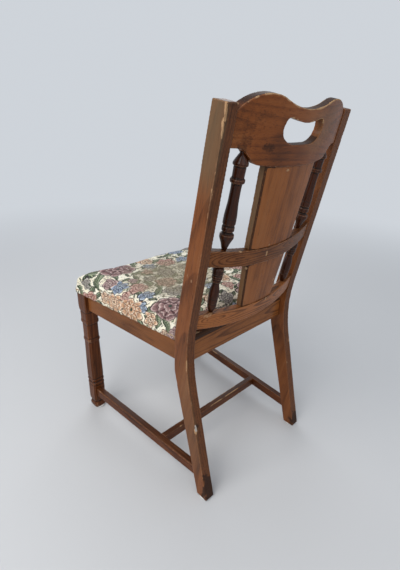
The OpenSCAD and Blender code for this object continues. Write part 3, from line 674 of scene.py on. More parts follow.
@dataclass
class WornPart:
    """A wooden piece made from a CAD node, with rounded, chipped and dirty edges.

    Args:
        node: The CAD node it stands for.
        grain: The way its grain runs.
        seed: Picks its noise and its figure.
        knocks: How heavily its edges are chipped.
        rub: How pale its edges are rubbed all along.
        pith: Place of its growth rings' middle, across the grain, in metres.
        wood: Its finish.
        slot: The record's material slot; not used.
        marks: Its single marks.
        voxel: Size of its mesh before it is thinned, in metres.
        rounding: How many times its edges are smoothed.
        kept: Share of the triangles that is kept.
        tops: How dark its upward faces are.
        shaded_backs: How dark its rear faces are.
        sides: How weathered its side faces are.
    """

    node: str
    grain: Grain
    seed: int
    knocks: float = 1.0
    rub: float = 0.12
    pith: tuple[float, float] = (0.05, 0.09)
    wood: StainedWood = StainedWood()
    slot: str = "stained_wood"
    marks: Sequence[Mark] = ()
    voxel: float = 0.0014
    rounding: int = 2
    kept: float = 0.42
    tops: float = 0.36
    shaded_backs: float = 0.0
    sides: float = 0.0

    def build(self) -> bpy.types.Object:
        """Makes, wears and dresses the piece.

        Returns:
            The finished object.
        """
        piece = merged_copy(f"{self.node}_worn", self.node)
        shape_with(piece, "REMESH", mode="VOXEL", voxel_size=self.voxel, use_smooth_shade=True)
        shape_with(piece, "SMOOTH", factor=0.5, iterations=self.rounding)
        self.wear_down(piece)
        shape_with(piece, "DECIMATE", decimate_type="COLLAPSE", ratio=self.kept)
        piece.data.materials.append(self.wood.material(self.grain, self.seed, self.pith))
        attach(piece, BODY)
        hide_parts(self.node)
        log.info("%s: %d faces", piece.name, len(piece.data.polygons))
        return piece

    def wear_down(self, piece: bpy.types.Object) -> None:
        """Chips the edges and stores where the wood is bare, dirty or grey, and where shade and
        highlight are painted on.

        Args:
            piece: The piece, already remeshed.
        """
        mesh = piece.data
        places, normals = vertex_places(mesh), vertex_normals(mesh)
        rounds = round(ARRIS_REACH / self.voxel**2)
        crisp, proud = (self.proud(mesh, count) for count in (rounds // 8, rounds))
        edge = step(proud, 0.25, 1.0)
        near_edge = step(relaxed(mesh, edge[:, None], 8)[:, 0], 0.05, 0.7)
        broad, mid, fine = (lumps(places, size, self.seed + shift) for size, shift in LUMPS)
        knock = step(broad * 0.45 + mid * 0.35 + fine * 0.20, 0.57, 0.70) * self.knocks

        wear = edge * (self.rub + 0.55 * knock) + near_edge * 0.10 * knock
        # Ring and bead crests are paled, partly as rubbed wear and partly as a painted highlight.
        wear = np.maximum(wear, step(crisp, 0.05, 0.20) * min(self.rub * 3.0, 0.40))
        depth = near_edge * knock * 0.5 * step(fine, 0.3, 0.8)
        # Hollows and fine grooves are darkened.
        corners = relaxed(mesh, step(-proud, 0.12, 0.8)[:, None], 3)[:, 0]
        grooves = step(-crisp, 0.02, 0.10)
        # Upward faces are darkened for dust and as painted shade.
        tops = step(normals[:, 2], 0.5, 0.9) * self.tops
        # Rear faces are darkened as painted shade.
        shaded_backs = step(normals[:, 1], 0.6, 0.95) * self.shaded_backs
        # This mask holds dirt and painted shade together.
        dirt_and_shade = np.maximum.reduce([corners, grooves, tops, shaded_backs])
        grey = step(np.abs(normals[:, 0]), 0.80, 0.95) * self.sides
        rearward = step(normals[:, 1], 0.1, 0.4)
        for mark in self.marks:
            away = mark.away(places)
            patch = step(-away + (mid - 0.5) * 0.9 + (fine - 0.5) * 0.9, -1.25, -0.75)
            wear = np.maximum(wear, patch * mark.wear)
            wear = np.maximum(wear, edge * patch * mark.rub * (0.55 + 0.6 * fine))
            depth += patch * mark.depth * (0.6 + 0.4 * fine)
            # Rearward arrises inside a mark get a painted shadow line.
            dirt_and_shade = np.maximum(dirt_and_shade, patch * np.maximum(mark.dirt_and_shade, edge * rearward * mark.arris_shadow))
            grey = np.maximum(grey, step(-away, -1.4, -0.5) * mark.grey)
        depth += (lumps(places, 0.03, self.seed + 5) - 0.5) * 0.18
        put_vertices(mesh, places - normals * (depth * MM)[:, None])
        store(mesh, "wear", np.clip(wear, 0.0, 1.0))
        store(mesh, "grime", np.clip(dirt_and_shade, 0.0, 1.0))
        store(mesh, "grey", grey)

    def proud(self, mesh: bpy.types.Mesh, rounds: int) -> np.ndarray:
        """How far each point stands out of its smoothed surroundings, in millimetres.

        Args:
            mesh: The piece's mesh.
            rounds: How many times the surroundings are smoothed.

        Returns:
            One number for each vertex.
        """
        places = vertex_places(mesh)
        raised = places - relaxed(mesh, places, rounds)
        return np.einsum("ij,ij->i", raised, vertex_normals(mesh)) / MM


# ---- sub-assemblies ----


@dataclass
class Back:
    """The raked and bowed back: posts, rails, splats and spindles.

    Args:
        post_wood: Finish of the posts.
        crest_wood: Finish of the crest rail.
        splat_wood: Finish of the splats.
        mid_wood: Finish of the middle rail.
        low_wood: Finish of the lower rail.
        turned_wood: Finish of the spindles.
        spindle_voxel: Mesh size of the turned spindles.
    """

    post_wood: StainedWood = StainedWood(
        deep=(0.078, 0.024, 0.007),
        warm=(0.172, 0.055, 0.016),
        ring=0.16,
        wander=0.012,
        cloud=0.35,
    )
    crest_wood: StainedWood = StainedWood(
        deep=(0.082, 0.023, 0.006),
        warm=(0.175, 0.050, 0.011),
        ring=0.12,
        ring_pitch=0.013,
        cloud=1.05,
        streak=0.30,
    )
    splat_wood: StainedWood = StainedWood(
        deep=(0.118, 0.036, 0.010),
        warm=(0.240, 0.078, 0.019),
        ring=0.10,
        ring_pitch=0.016,
        cloud=0.95,
    )
    mid_wood: StainedWood = StainedWood(
        deep=(0.066, 0.020, 0.005),
        warm=(0.155, 0.051, 0.013),
        ring=0.30,
        ring_pitch=0.005,
        wander=0.026,
    )
    low_wood: StainedWood = StainedWood(
        deep=(0.130, 0.042, 0.011),
        warm=(0.305, 0.104, 0.029),
        ring=0.30,
        ring_pitch=0.005,
        wander=0.026,
    )
    turned_wood: StainedWood = StainedWood(
        name="turned_wood",
        dark=(0.006, 0.002, 0.001),
        deep=(0.014, 0.003, 0.001),
        warm=(0.034, 0.008, 0.002),
        bright=(0.080, 0.020, 0.006),
        gloss=0.30,
        ring=0.12,
        sharp=0.09,
    )
    spindle_voxel: float = 0.0010

    def build(self) -> list[bpy.types.Object]:
        """Builds the back.

        Returns:
            Its pieces.
        """
        parts = [*self.posts(), *self.rails(), *self.splats(), *self.spindles()]
        return [part.build() for part in parts]

    def posts(self) -> list[WornPart]:
        """The two posts; the left one has the deepest knocks."""
        left = [
            Mark((216, 257, 952), (3.4, 3.4, 22), 0.86, 0.9),
            Mark((217, 253, 922), (3, 3.5, 22), 0.72, 0.7),
            Mark((217, 242, 852), (2.6, 3, 24), 0.62, 0.6),
            Mark((216, 234, 806), (2.4, 3, 14), 0.60, 0.5),
            Mark((216, 226, 763), (2.2, 3, 9), 0.55, 0.5),
            Mark((215, 171, 626), (2, 1.2, 7), 0.62, 0.3),
            Mark((215, 184, 616), (2, 1.5, 4), 0.66, 0.3),
            Mark((214, 175, 390), (2.4, 2.4, 18), 0.66, 0.6),
            Mark((212, 196, 286), (2.2, 3, 8), 0.55, 0.5),
            Mark((211, 214, 216), (7, 7, 17), 1.0, 1.8, grey=1.0),
            Mark((206, 214, 222), (7, 6, 16), dirt_and_shade=0.55),
            Mark((203, 262, 30), (18, 18, 44), dirt_and_shade=0.75),
            # These two greyed patches on the outer face are weathering and painted sheen.
            Mark((216, 225, 930), (8, 60, 120), grey=0.8),
            Mark((214, 200, 250), (8, 60, 180), grey=0.35),
            Mark((200, 262, 960), (16, 8, 22), dirt_and_shade=0.4),
            Mark((187, 262, 968), (8, 8, 10), rub=0.9),
        ]
        right = [
            Mark((-211, 194, 294), (2.4, 3, 7), 0.66, 0.6),
            Mark((-191, 211, 228), (2.2, 3, 5), 0.62, 0.4),
            Mark((-216, 250, 905), (3, 3, 14), 0.62, 0.6),
            Mark((-203, 262, 24), (18, 18, 34), dirt_and_shade=0.6),
        ]
        # The posts' rear faces get painted shade.
        shared = {"wood": self.post_wood, "knocks": 0.35, "rub": 0.14, "shaded_backs": 0.34}
        return [
            WornPart("back_post_left", Grain.RAKED, 3, pith=(0.12, 0.3), marks=left, **shared),
            WornPart("back_post_right", Grain.RAKED, 8, pith=(0.12, -0.3), marks=right, **shared),
        ]

    def rails(self) -> list[WornPart]:
        """The crest, middle and lower rails."""
        crest = [
            Mark((0, 279, 966), (230, 16, 34), rub=1.0),
            Mark((130, 276, 984), (34, 6, 5), 0.55, 0.3),
            Mark((97, 267, 891), (17, 10, 11), dirt_and_shade=0.40),
            Mark((128, 270, 946), (56, 12, 10), dirt_and_shade=0.30),
            Mark((184, 262, 915), (36, 16, 60), dirt_and_shade=0.29),
            Mark((158, 257, 906), (16, 10, 9), dirt_and_shade=0.36),
            Mark((165, 256, 884), (12, 10, 14), dirt_and_shade=0.40),
            Mark((-108, 268, 910), (60, 12, 50), dirt_and_shade=0.24),
            Mark((40, 268, 880), (50, 8, 5), dirt_and_shade=0.25),
            Mark((-70, 275, 925), (70, 12, 60), grey=0.35),
        ]
        middle = [
            Mark((19, 233, 649), (2.5, 3, 6), 1.0, 0.8),
            Mark((-100, 222, 634), (3, 3, 3), 0.9, 0.6),
            Mark((108, 225, 671), (3, 3, 2.5), 0.9, 0.5),
        ]
        lower = [
            Mark((-37, 207, 502), (3, 3, 6), 1.0, 0.8),
            Mark((163, 188, 514), (24, 3, 5), 0.62, 0.3),
        ]
        across = Grain.ACROSS
        # The crest's top faces are darkened for dust and as painted shade.
        top = {"marks": crest, "tops": 0.62}
        return [
            WornPart("crest_rail", across, 5, 0.6, 0.16, (0.25, 0.93), self.crest_wood, **top),
            WornPart("mid_rail", across, 14, 0.4, 0.2, (0.225, 0.655), self.mid_wood, marks=middle),
            WornPart("lower_rail", across, 21, 0.4, 0.2, (0.19, 0.50), self.low_wood, marks=lower),
        ]

    def splats(self) -> list[WornPart]:
        """The upper and lower splats."""
        upper = [
            Mark((14, 234, 669), (2.5, 3, 4), 0.9, 0.5),
            Mark((20, 263, 842), (5, 3, 2.5), 0.8, 0.4),
            # A painted shadow line along the upper splat's rearward arrises, for its small rabbet.
            Mark((86, 236, 760), (20, 70, 220), arris_shadow=1.0),
        ]
        lower = [
            Mark((-57, 224, 624), (3, 3, 3), 0.9, 0.5),
            Mark((73, 218, 620), (3, 3, 3), 0.9, 0.5),
            Mark((-53, 213, 556), (2.5, 3, 5), 0.9, 0.5),
            # A painted shadow line along the lower splat's rearward arrises, for its small rabbet.
            Mark((68, 210, 575), (22, 70, 160), arris_shadow=1.0),
        ]
        shared = {"wood": self.splat_wood, "knocks": 0.3, "rub": 0.15, "sides": 0.85}
        return [
            WornPart("upper_splat", Grain.RAKED, 27, pith=(0.085, 0.02), marks=upper, **shared),
            WornPart("lower_splat", Grain.RAKED, 33, pith=(0.085, -0.03), marks=lower, **shared),
        ]

    def spindles(self) -> list[WornPart]:
        """The four turned spindles."""
        names = [f"{level}_spindle_{side}" for level in ("upper", "lower") for side in SIDES]
        shared = {"wood": self.turned_wood, "slot": "turned_wood", "knocks": 0.3, "rub": 0.12}
        shared.update(voxel=self.spindle_voxel, rounding=1, tops=0.0)
        return [WornPart(name, Grain.RAKED, seed, **shared) for seed, name in enumerate(names, 40)]


@dataclass
class Base:
    """The seat rails, front legs and stretchers.

    Args:
        rail_wood: Finish of the front and side seat rails.
        rear_wood: Finish of the rear seat rail.
        leg_wood: Finish of the legs and stretchers.
        leg_voxel: Mesh size of the front legs and stretchers.
    """

    rail_wood: StainedWood = StainedWood(
        deep=(0.090, 0.030, 0.009),
        warm=(0.190, 0.068, 0.020),
        ring=0.22,
        ring_pitch=0.005,
        wander=0.024,
    )
    rear_wood: StainedWood = StainedWood(
        deep=(0.105, 0.034, 0.009),
        warm=(0.240, 0.082, 0.021),
        ring=0.24,
        ring_pitch=0.005,
        wander=0.024,
    )
    leg_wood: StainedWood = StainedWood(
        deep=(0.044, 0.012, 0.003),
        warm=(0.101, 0.028, 0.007),
        ring=0.15,
        wander=0.012,
        cloud=0.45,
    )
    leg_voxel: float = 0.0010

    def build(self) -> list[bpy.types.Object]:
        """Builds the wooden base.

        Returns:
            Its pieces.
        """
        rail, rear, leg = self.rail_wood, self.rear_wood, self.leg_wood
        across, depth = Grain.ACROSS, Grain.DEPTH
        parts = [
            # The rear rail's and cleat's upward faces, and the cleat's rear face, are painted dark
            # as the shade in the gap under the lower rail.
            WornPart("rear_seat_rail", across, 51, 0.3, 0.1, (0.125, 0.41), rear, tops=1.0),
            WornPart("rear_cleat", across, 60, 0.1, 0.0, (0.05, 0.30), leg, tops=1.0, shaded_backs=1.0),
            WornPart("front_seat_rail", across, 52, 0.6, 0.15, (-0.23, 0.41), rail),
            WornPart("side_seat_rail_left", depth, 53, 0.2, 0.1, (-0.205, 0.30), rail),
            WornPart("side_seat_rail_right", depth, 54, 0.2, 0.1, (0.205, 0.30), rail),
        ]
        slender = [
            ("front_leg_left", Grain.UP, 55, 0.6, 0.1),
            ("front_leg_right", Grain.UP, 56, 0.6, 0.1),
            ("side_stretcher_left", depth, 57, 0.8, 0.3),
            ("side_stretcher_right", depth, 58, 0.8, 0.3),
            ("cross_stretcher", across, 59, 0.8, 0.3),
        ]
        shared = {"wood": leg, "voxel": self.leg_voxel, "rounding": 1, "kept": 0.25}
        parts += [WornPart(*row, **shared) for row in slender]
        return [part.build() for part in parts]


class Hue(Enum):
    """A flower's place in the palette, then its dark, middle and pale thread."""

    MAUVE = (0.05, (0.060, 0.024, 0.028), (0.31, 0.18, 0.175), (0.68, 0.53, 0.49))
    ROSE = (0.25, (0.12, 0.03, 0.026), (0.46, 0.22, 0.18), (0.78, 0.57, 0.48))
    PEACH = (0.45, (0.14, 0.05, 0.025), (0.72, 0.43, 0.26), (0.90, 0.77, 0.60))
    BLUE = (0.65, (0.014, 0.02, 0.045), (0.20, 0.26, 0.38), (0.55, 0.62, 0.70))
    GREY = (0.85, (0.05, 0.042, 0.045), (0.26, 0.235, 0.225), (0.55, 0.52, 0.45))


@dataclass(frozen=True)
class Motif:
    """One woven flower or leaf.

    Args:
        x: Sideways place on the cloth, in millimetres.
        y: Place along the cloth, in millimetres.
        size: Radius of a flower or half length of a leaf, in millimetres.
        turn: Its turn in degrees.
        hue: A flower's colours.
        petals: How many petals a flower has.
        depth: How deeply the petals are cut.
    """

    x: float
    y: float
    size: float
    turn: float = 0.0
    hue: Hue = Hue.MAUVE
    petals: int = 7
    depth: float = 0.22

    def covers(self, x: float, y: float, spare: float, share: float) -> bool:
        """Whether a place is within a share of the motif's size, and some to spare."""
        return math.hypot(x - self.x, y - self.y) < spare + share * self.size


@dataclass
class Tapestry:
    """A woven cloth of large flowers and leaves on a cream ground, soiled in the middle.

    Args:
        flowers: The flowers that are listed one by one.
        leaves: The leaves that are listed one by one.
        ground: Colours of the ground, cream and paler.
        sprigs: Colours of the small sprigs on the ground, green and straw.
        leaf: Colours of a leaf's two halves, dark and pale.
        leaf_ribs: Colours of a leaf's ribs, dark and pale.
        sprig_line: Colour of the outlines of the sprigs.
        twig: Colour of the twigs.
        midrib: Colour of a leaf's midrib.
        leaf_line: Colour of the outlines of the leaves.
        stroke: Colour of the dark strokes in the soiled middle.
        heart: Colour of a flower's heart.
        weft: Tints of the weave, low and high.
        soil: Colour that the middle is soiled with.
        cords: Waves a metre of the weave, across and along it.
    """

    flowers: list[Motif] = field(
        default_factory=lambda: [
            Motif(146, -222, 54, 10, Hue.MAUVE, 8, 0.20),
            Motif(170, 66, 50, 40, Hue.MAUVE, 8, 0.20),
            Motif(210, -158, 25, 20, Hue.MAUVE, 5, 0.35),
            Motif(202, -120, 27, 0, Hue.BLUE, 6, 0.45),
            Motif(180, -26, 24, 15, Hue.BLUE, 5, 0.45),
            Motif(220, -2, 21, 50, Hue.BLUE, 5, 0.45),
            Motif(246, -36, 47, 0, Hue.PEACH, 9, 0.34),
            Motif(258, -104, 34, 30, Hue.PEACH, 8, 0.36),
            Motif(219, -74, 19, 30, Hue.ROSE, 5, 0.3),
            Motif(238, 134, 26, 10, Hue.MAUVE, 6, 0.3),
            Motif(92, -50, 30, 0, Hue.ROSE, 7, 0.2),
            Motif(112, 6, 30, 25, Hue.GREY, 6, 0.3),
            Motif(46, -106, 30, 45, Hue.GREY, 7, 0.25),
            Motif(-8, -172, 32, 10, Hue.ROSE, 7, 0.25),
            Motif(36, -226, 28, 35, Hue.PEACH, 6, 0.35),
            Motif(-68, -162, 26, 10, Hue.BLUE, 6, 0.4),
            Motif(-50, -258, 24, 40, Hue.BLUE, 5, 0.45),
            Motif(262, -140, 24, 60, Hue.PEACH, 5, 0.35),
        ]
    )
    leaves: list[Motif] = field(
        default_factory=lambda: [
            Motif(236, 98, 26, 40),
            Motif(232, 62, 27, 15),
            Motif(204, 24, 26, -25),
            Motif(246, 30, 20, 60),
            Motif(174, -66, 24, 35),
            Motif(132, -80, 24, 75),
            Motif(160, -108, 22, 30),
            Motif(214, -212, 27, 25),
            Motif(222, -246, 27, -10),
            Motif(240, -190, 20, 60),
            Motif(188, -274, 24, 10),
            Motif(76, -236, 26, 60),
            Motif(284, -262, 22, 70),
            Motif(262, -306, 24, 20),
            Motif(236, -294, 20, 80),
            Motif(296, -300, 18, 45),
            Motif(150, -300, 22, 60),
            Motif(70, -184, 24, 40),
            Motif(-120, -244, 28, 35),
            Motif(140, -130, 20, 60),
            Motif(118, 110, 24, 30),
            Motif(10, -60, 24, 50),
        ]
    )
    ground: Pair = ((0.86, 0.79, 0.62), (0.92, 0.88, 0.74))
    sprigs: Pair = ((0.16, 0.21, 0.12), (0.36, 0.30, 0.19))
    leaf: Pair = ((0.100, 0.135, 0.082), (0.29, 0.345, 0.225))
    leaf_ribs: Pair = ((0.030, 0.048, 0.028), (0.52, 0.52, 0.36))
    sprig_line: Colour = (0.035, 0.045, 0.028)
    twig: Colour = (0.045, 0.050, 0.035)
    midrib: Colour = (0.025, 0.035, 0.022)
    leaf_line: Colour = (0.022, 0.034, 0.022)
    stroke: Colour = (0.050, 0.050, 0.028)
    heart: Colour = (0.04, 0.06, 0.045)
    weft: Pair = ((0.80, 0.78, 0.74), (1.0, 1.0, 1.0))
    soil: Colour = (0.30, 0.245, 0.155)
    cords: tuple[float, float] = (5200.0, 3900.0)

    def fill(self) -> None:
        """Adds flowers and leaves over the rest of the cloth, where there is room."""
        draw = random.Random(11)
        hues = list(Hue)
        cuts = ((8, 0.2), (6, 0.35), (5, 0.42))
        flower_sizes, leaf_sizes, small = (15, 40), (11, 27), 22
        tries, flower_tries, skipped = 2600, 500, 0.70
        for count in range(tries):
            flower = count < flower_tries
            size = draw.uniform(*(flower_sizes if flower else leaf_sizes))
            x, y = draw.uniform(-330, 330), draw.uniform(-350, 195)
            turn, hue = draw.uniform(0, 180), draw.choice(hues)
            petals, depth = draw.choice(cuts)
            large_and_soiled = size > small and math.hypot(x - 40, y + 70) < 95
            on_flower = any(o.covers(x, y, 0.90 * size, 1.0) for o in self.flowers)
            on_leaf = any(o.covers(x, y, 0.64 * size, 0.64) for o in self.leaves)
            if flower and not on_flower and not large_and_soiled:
                self.flowers.append(Motif(x, y, size, turn, hue, petals, depth))
            elif not flower and not on_leaf and not (on_flower and draw.random() < skipped):
                self.leaves.append(Motif(x, y, size, turn))

    def weave(self, mesh: bpy.types.Mesh, cloth: np.ndarray) -> None:
        """Stores how each point of the cloth lies in its flower and its leaf.

        Args:
            mesh: The cushion's mesh.
            cloth: Each vertex's place on the flat cloth, in millimetres.
        """
        self.fill()
        store(mesh, "cloth", cloth * MM)
        drawn = cloth[:, :2].copy()
        for size, reach, seed in ((0.026, 8.0, 31), (0.010, 4.5, 37)):
            pull = [lumps(cloth * MM, size, seed + k) - 0.5 for k in range(2)]
            drawn += np.stack(pull, 1) * reach
        count = len(cloth)
        bloom, leaf = (np.full((count, 3), NOWHERE) for _ in range(2))
        petal = np.tile((1.0, 2.0, 0.0), (count, 1))
        for motif in self.flowers:
            dx, dy = drawn[:, 0] - motif.x, drawn[:, 1] - motif.y
            far = np.hypot(dx, dy)
            angle = np.arctan2(dy, dx) - math.radians(motif.turn)
            layers = []
            for layer, share in enumerate((1.0, 0.68, 0.38)):
                lobes = np.abs(np.cos((angle + layer * math.pi / motif.petals) * motif.petals / 2))
                wobble = 0.07 * np.sin(3 * angle + motif.x) + 0.05 * np.sin(5 * angle + motif.y)
                rim = (1.0 - motif.depth * (1.0 - lobes**0.6) + wobble) * share
                layers.append(rim * motif.size - far)
            closer = layers[0] > bloom[:, 0]
            bloom[closer] = np.stack(layers, 1)[closer]
            spokes, share = np.cos(angle * motif.petals), far / motif.size
            hue = np.full(count, motif.hue.value[0])
            petal[closer] = np.stack([spokes, share, hue], 1)[closer]
        for motif in self.leaves:
            dx, dy = drawn[:, 0] - motif.x, drawn[:, 1] - motif.y
            spin = math.radians(motif.turn)
            along = (dx * math.cos(spin) + dy * math.sin(spin)) / motif.size
            across = dy * math.cos(spin) - dx * math.sin(spin)
            across += 0.22 * motif.size * (along**2 - 0.4)
            wide = 0.42 * motif.size * np.clip(1.0 - along**2, 0.0, 1.0) ** 0.8
            wide *= (1.0 - 0.25 * along) * (1.0 + 0.14 * np.sin(along * 17.0))
            inside = np.where(np.abs(along) < 1.0, wide - np.abs(across), -np.abs(across) - 4.0)
            closer = inside > leaf[:, 0]
            leaf[closer] = np.stack([inside, across, along * motif.size], 1)[closer]
        store(mesh, "bloom", bloom)
        store(mesh, "petal", petal)
        store(mesh, "leaf", leaf)

    def material(self) -> bpy.types.Material:
        """Mixes the cloth from what weave stored.

        Returns:
            The cloth's material.
        """
        b = Bench.material("tapestry")
        flat = b.attribute("cloth", "Vector")
        thread = b.noise(flat, 900.0, 2.0, 0.7)
        fuzz = (b.noise(flat, 300.0, 3.0, 0.65) - 0.5) * 4.5
        patch = b.noise(flat, 22.0, 3.0, 0.6)
        colour = self.woven_ground(b, flat, patch)
        colour = self.woven_leaves(b, colour, fuzz)
        colour = self.woven_flowers(b, colour, flat, thread, fuzz)
        colour = b.mix(0.6, colour, b.mix(thread.rise(0.3, 0.7), *self.weft), "MULTIPLY")
        colour = self.soiled(b, colour, flat, patch)
        warp, weft, _ = b.split(flat)
        waves = [b.math("SINE", way * pitch) for way, pitch in zip((warp, weft), self.cords)]
        height = waves[0] * waves[1] * 0.5 + thread * 0.8
        return b.finish(
            {
                "Base Color": colour,
                "Roughness": 0.86 + (thread - 0.5) * 0.1,
                "Sheen Weight": 0.04,
                "Sheen Roughness": 0.6,
                "Specular IOR Level": 0.1,
                "Normal": b.bump(height, 0.00035, 0.8),
            }
        )

    def woven_ground(self, b: Bench, flat: Wire, patch: Wire) -> Wire:
        """The cream ground with its small sprigs and twigs.

        Args:
            b: The cloth's bench.
            flat: Place on the flat cloth.
            patch: Broad noise over the cloth.

        Returns:
            The ground's colour.
        """
        ground = b.mix(patch.rise(0.35, 0.65), *self.ground)
        sketch = b.noise(b.place(move=(3.0, 1.0, 0.0), source=flat), 62.0, 3.0, 0.6)
        ground = b.mix(sketch.rise(0.600, 0.62), ground, b.mix(patch.rise(0.4, 0.6), *self.sprigs))
        outline = abs(sketch - 0.590).rise(0.026, 0.012) * patch.rise(0.36, 0.46)
        ground = b.mix(outline * 0.92, ground, self.sprig_line)
        twig = abs(b.noise(flat, 48.0, 3.0, 0.6) - 0.5).rise(0.018, 0.007)
        return b.mix(twig * patch.rise(0.62, 0.5) * 0.9, ground, self.twig)

    def woven_leaves(self, b: Bench, below: Wire, fuzz: Wire) -> Wire:
        """Leaves in two greens, with ribs and an outline.

        Args:
            b: The cloth's bench.
            below: Colour that the leaves lie on.
            fuzz: How far the threads stray, in millimetres.

        Returns:
            The colour with the leaves on it.
        """
        blade, across, along = b.split(b.attribute("leaf", "Vector"))
        green = b.mix((across + fuzz * 0.4).rise(-0.6, 0.6), *self.leaf)
        ribs = b.math("SINE", (along + abs(across) * 0.9) * 1.1 + fuzz * 0.35)
        green = b.mix(ribs.rise(0.3, 0.75) * 0.85, green, self.leaf_ribs[0])
        green = b.mix(ribs.rise(-0.55, -0.9) * 0.6, green, self.leaf_ribs[1])
        green = b.mix(abs(across).rise(1.3, 0.7), green, self.midrib)
        green = b.mix(abs(blade).rise(2.3, 1.3), green, self.leaf_line)
        return b.mix((blade + fuzz * 0.35).rise(-1.1, -0.3), below, green)

    def woven_flowers(self, b: Bench, below: Wire, flat: Wire, thread: Wire, fuzz: Wire) -> Wire:
        """Flowers of three rings of petals, pale at the rim and dark towards the heart.

        Args:
            b: The cloth's bench.
            below: Colour that the flowers lie on.
            flat: Place on the flat cloth.
            thread: Noise of the single threads.
            fuzz: How far the threads stray, in millimetres.

        Returns:
            The colour with the flowers on it.
        """
        whole, middle, heart = b.split(b.attribute("bloom", "Vector"))
        spokes, reach, hue = b.split(b.attribute("petal", "Vector"))
        starts = [max(row.value[0] - HALF_HUE, 0.0) for row in Hue]
        dark, mid, light = (
            b.ramp(hue, [(start, row.value[k]) for start, row in zip(starts, Hue)], True)
            for k in (1, 2, 3)
        )
        second = (middle + fuzz * 0.3).rise(-0.4, 0.4)
        third = (heart + fuzz * 0.3).rise(-0.4, 0.4)
        inward = whole + (middle - whole) * second
        inward = inward + (heart - inward) * third + fuzz * 0.8
        tone = b.mix(inward.rise(2.5, 9.0), light, mid)
        tone = b.mix(inward.rise(8.0, 20.0) * 0.55, tone, dark)
        strays = (thread - 0.5) * 0.6
        streak = (spokes + strays).rise(-0.35, -0.85)
        tone = b.mix(streak * inward.rise(1.5, 4.0) * 0.85, tone, dark)
        vein = (spokes * (spokes * spokes * 4.0 - 3.0) + strays).rise(-0.55, -0.92)
        tone = b.mix(vein * inward.rise(2.0, 5.0) * 0.40, tone, dark)
        crease = abs(b.noise(flat, 95.0, 2.0, 0.5) - 0.5).rise(0.022, 0.010)
        tone = b.mix(crease * 0.60, tone, dark)
        tone = b.mix(abs(inward - 0.4).rise(2.4, 1.2), tone, dark)
        tone = b.mix((reach + fuzz * 0.02).rise(0.13, 0.07), tone, self.heart)
        return b.mix((whole + fuzz * 0.35).rise(-0.9, -0.1), below, tone)

    def soiled(self, b: Bench, clean: Wire, flat: Wire, patch: Wire) -> Wire:
        """The middle of the seat, browned and streaked by use.

        Args:
            b: The cloth's bench.
            clean: Colour of the clean cloth.
            flat: Place on the flat cloth.
            patch: Broad noise over the cloth.

        Returns:
            The colour with the soiling on it.
        """
        middle = b.place(move=(-0.045, 0.075, 0.0), scale=(1.0, 1.0, 0.0), source=flat)
        spread = b.node("ShaderNodeVectorMath", {"operation": "LENGTH"}, {0: middle}, 1)
        worn = (spread + (patch - 0.5) * 0.14).rise(0.17, 0.06)
        strokes = abs(b.noise(flat, 70.0, 2.0, 0.5) - 0.5).rise(0.035, 0.015) * worn
        colour = b.mix(worn * 0.62, clean, self.soil)
        return b.mix(strokes * 0.75, colour, self.stroke)


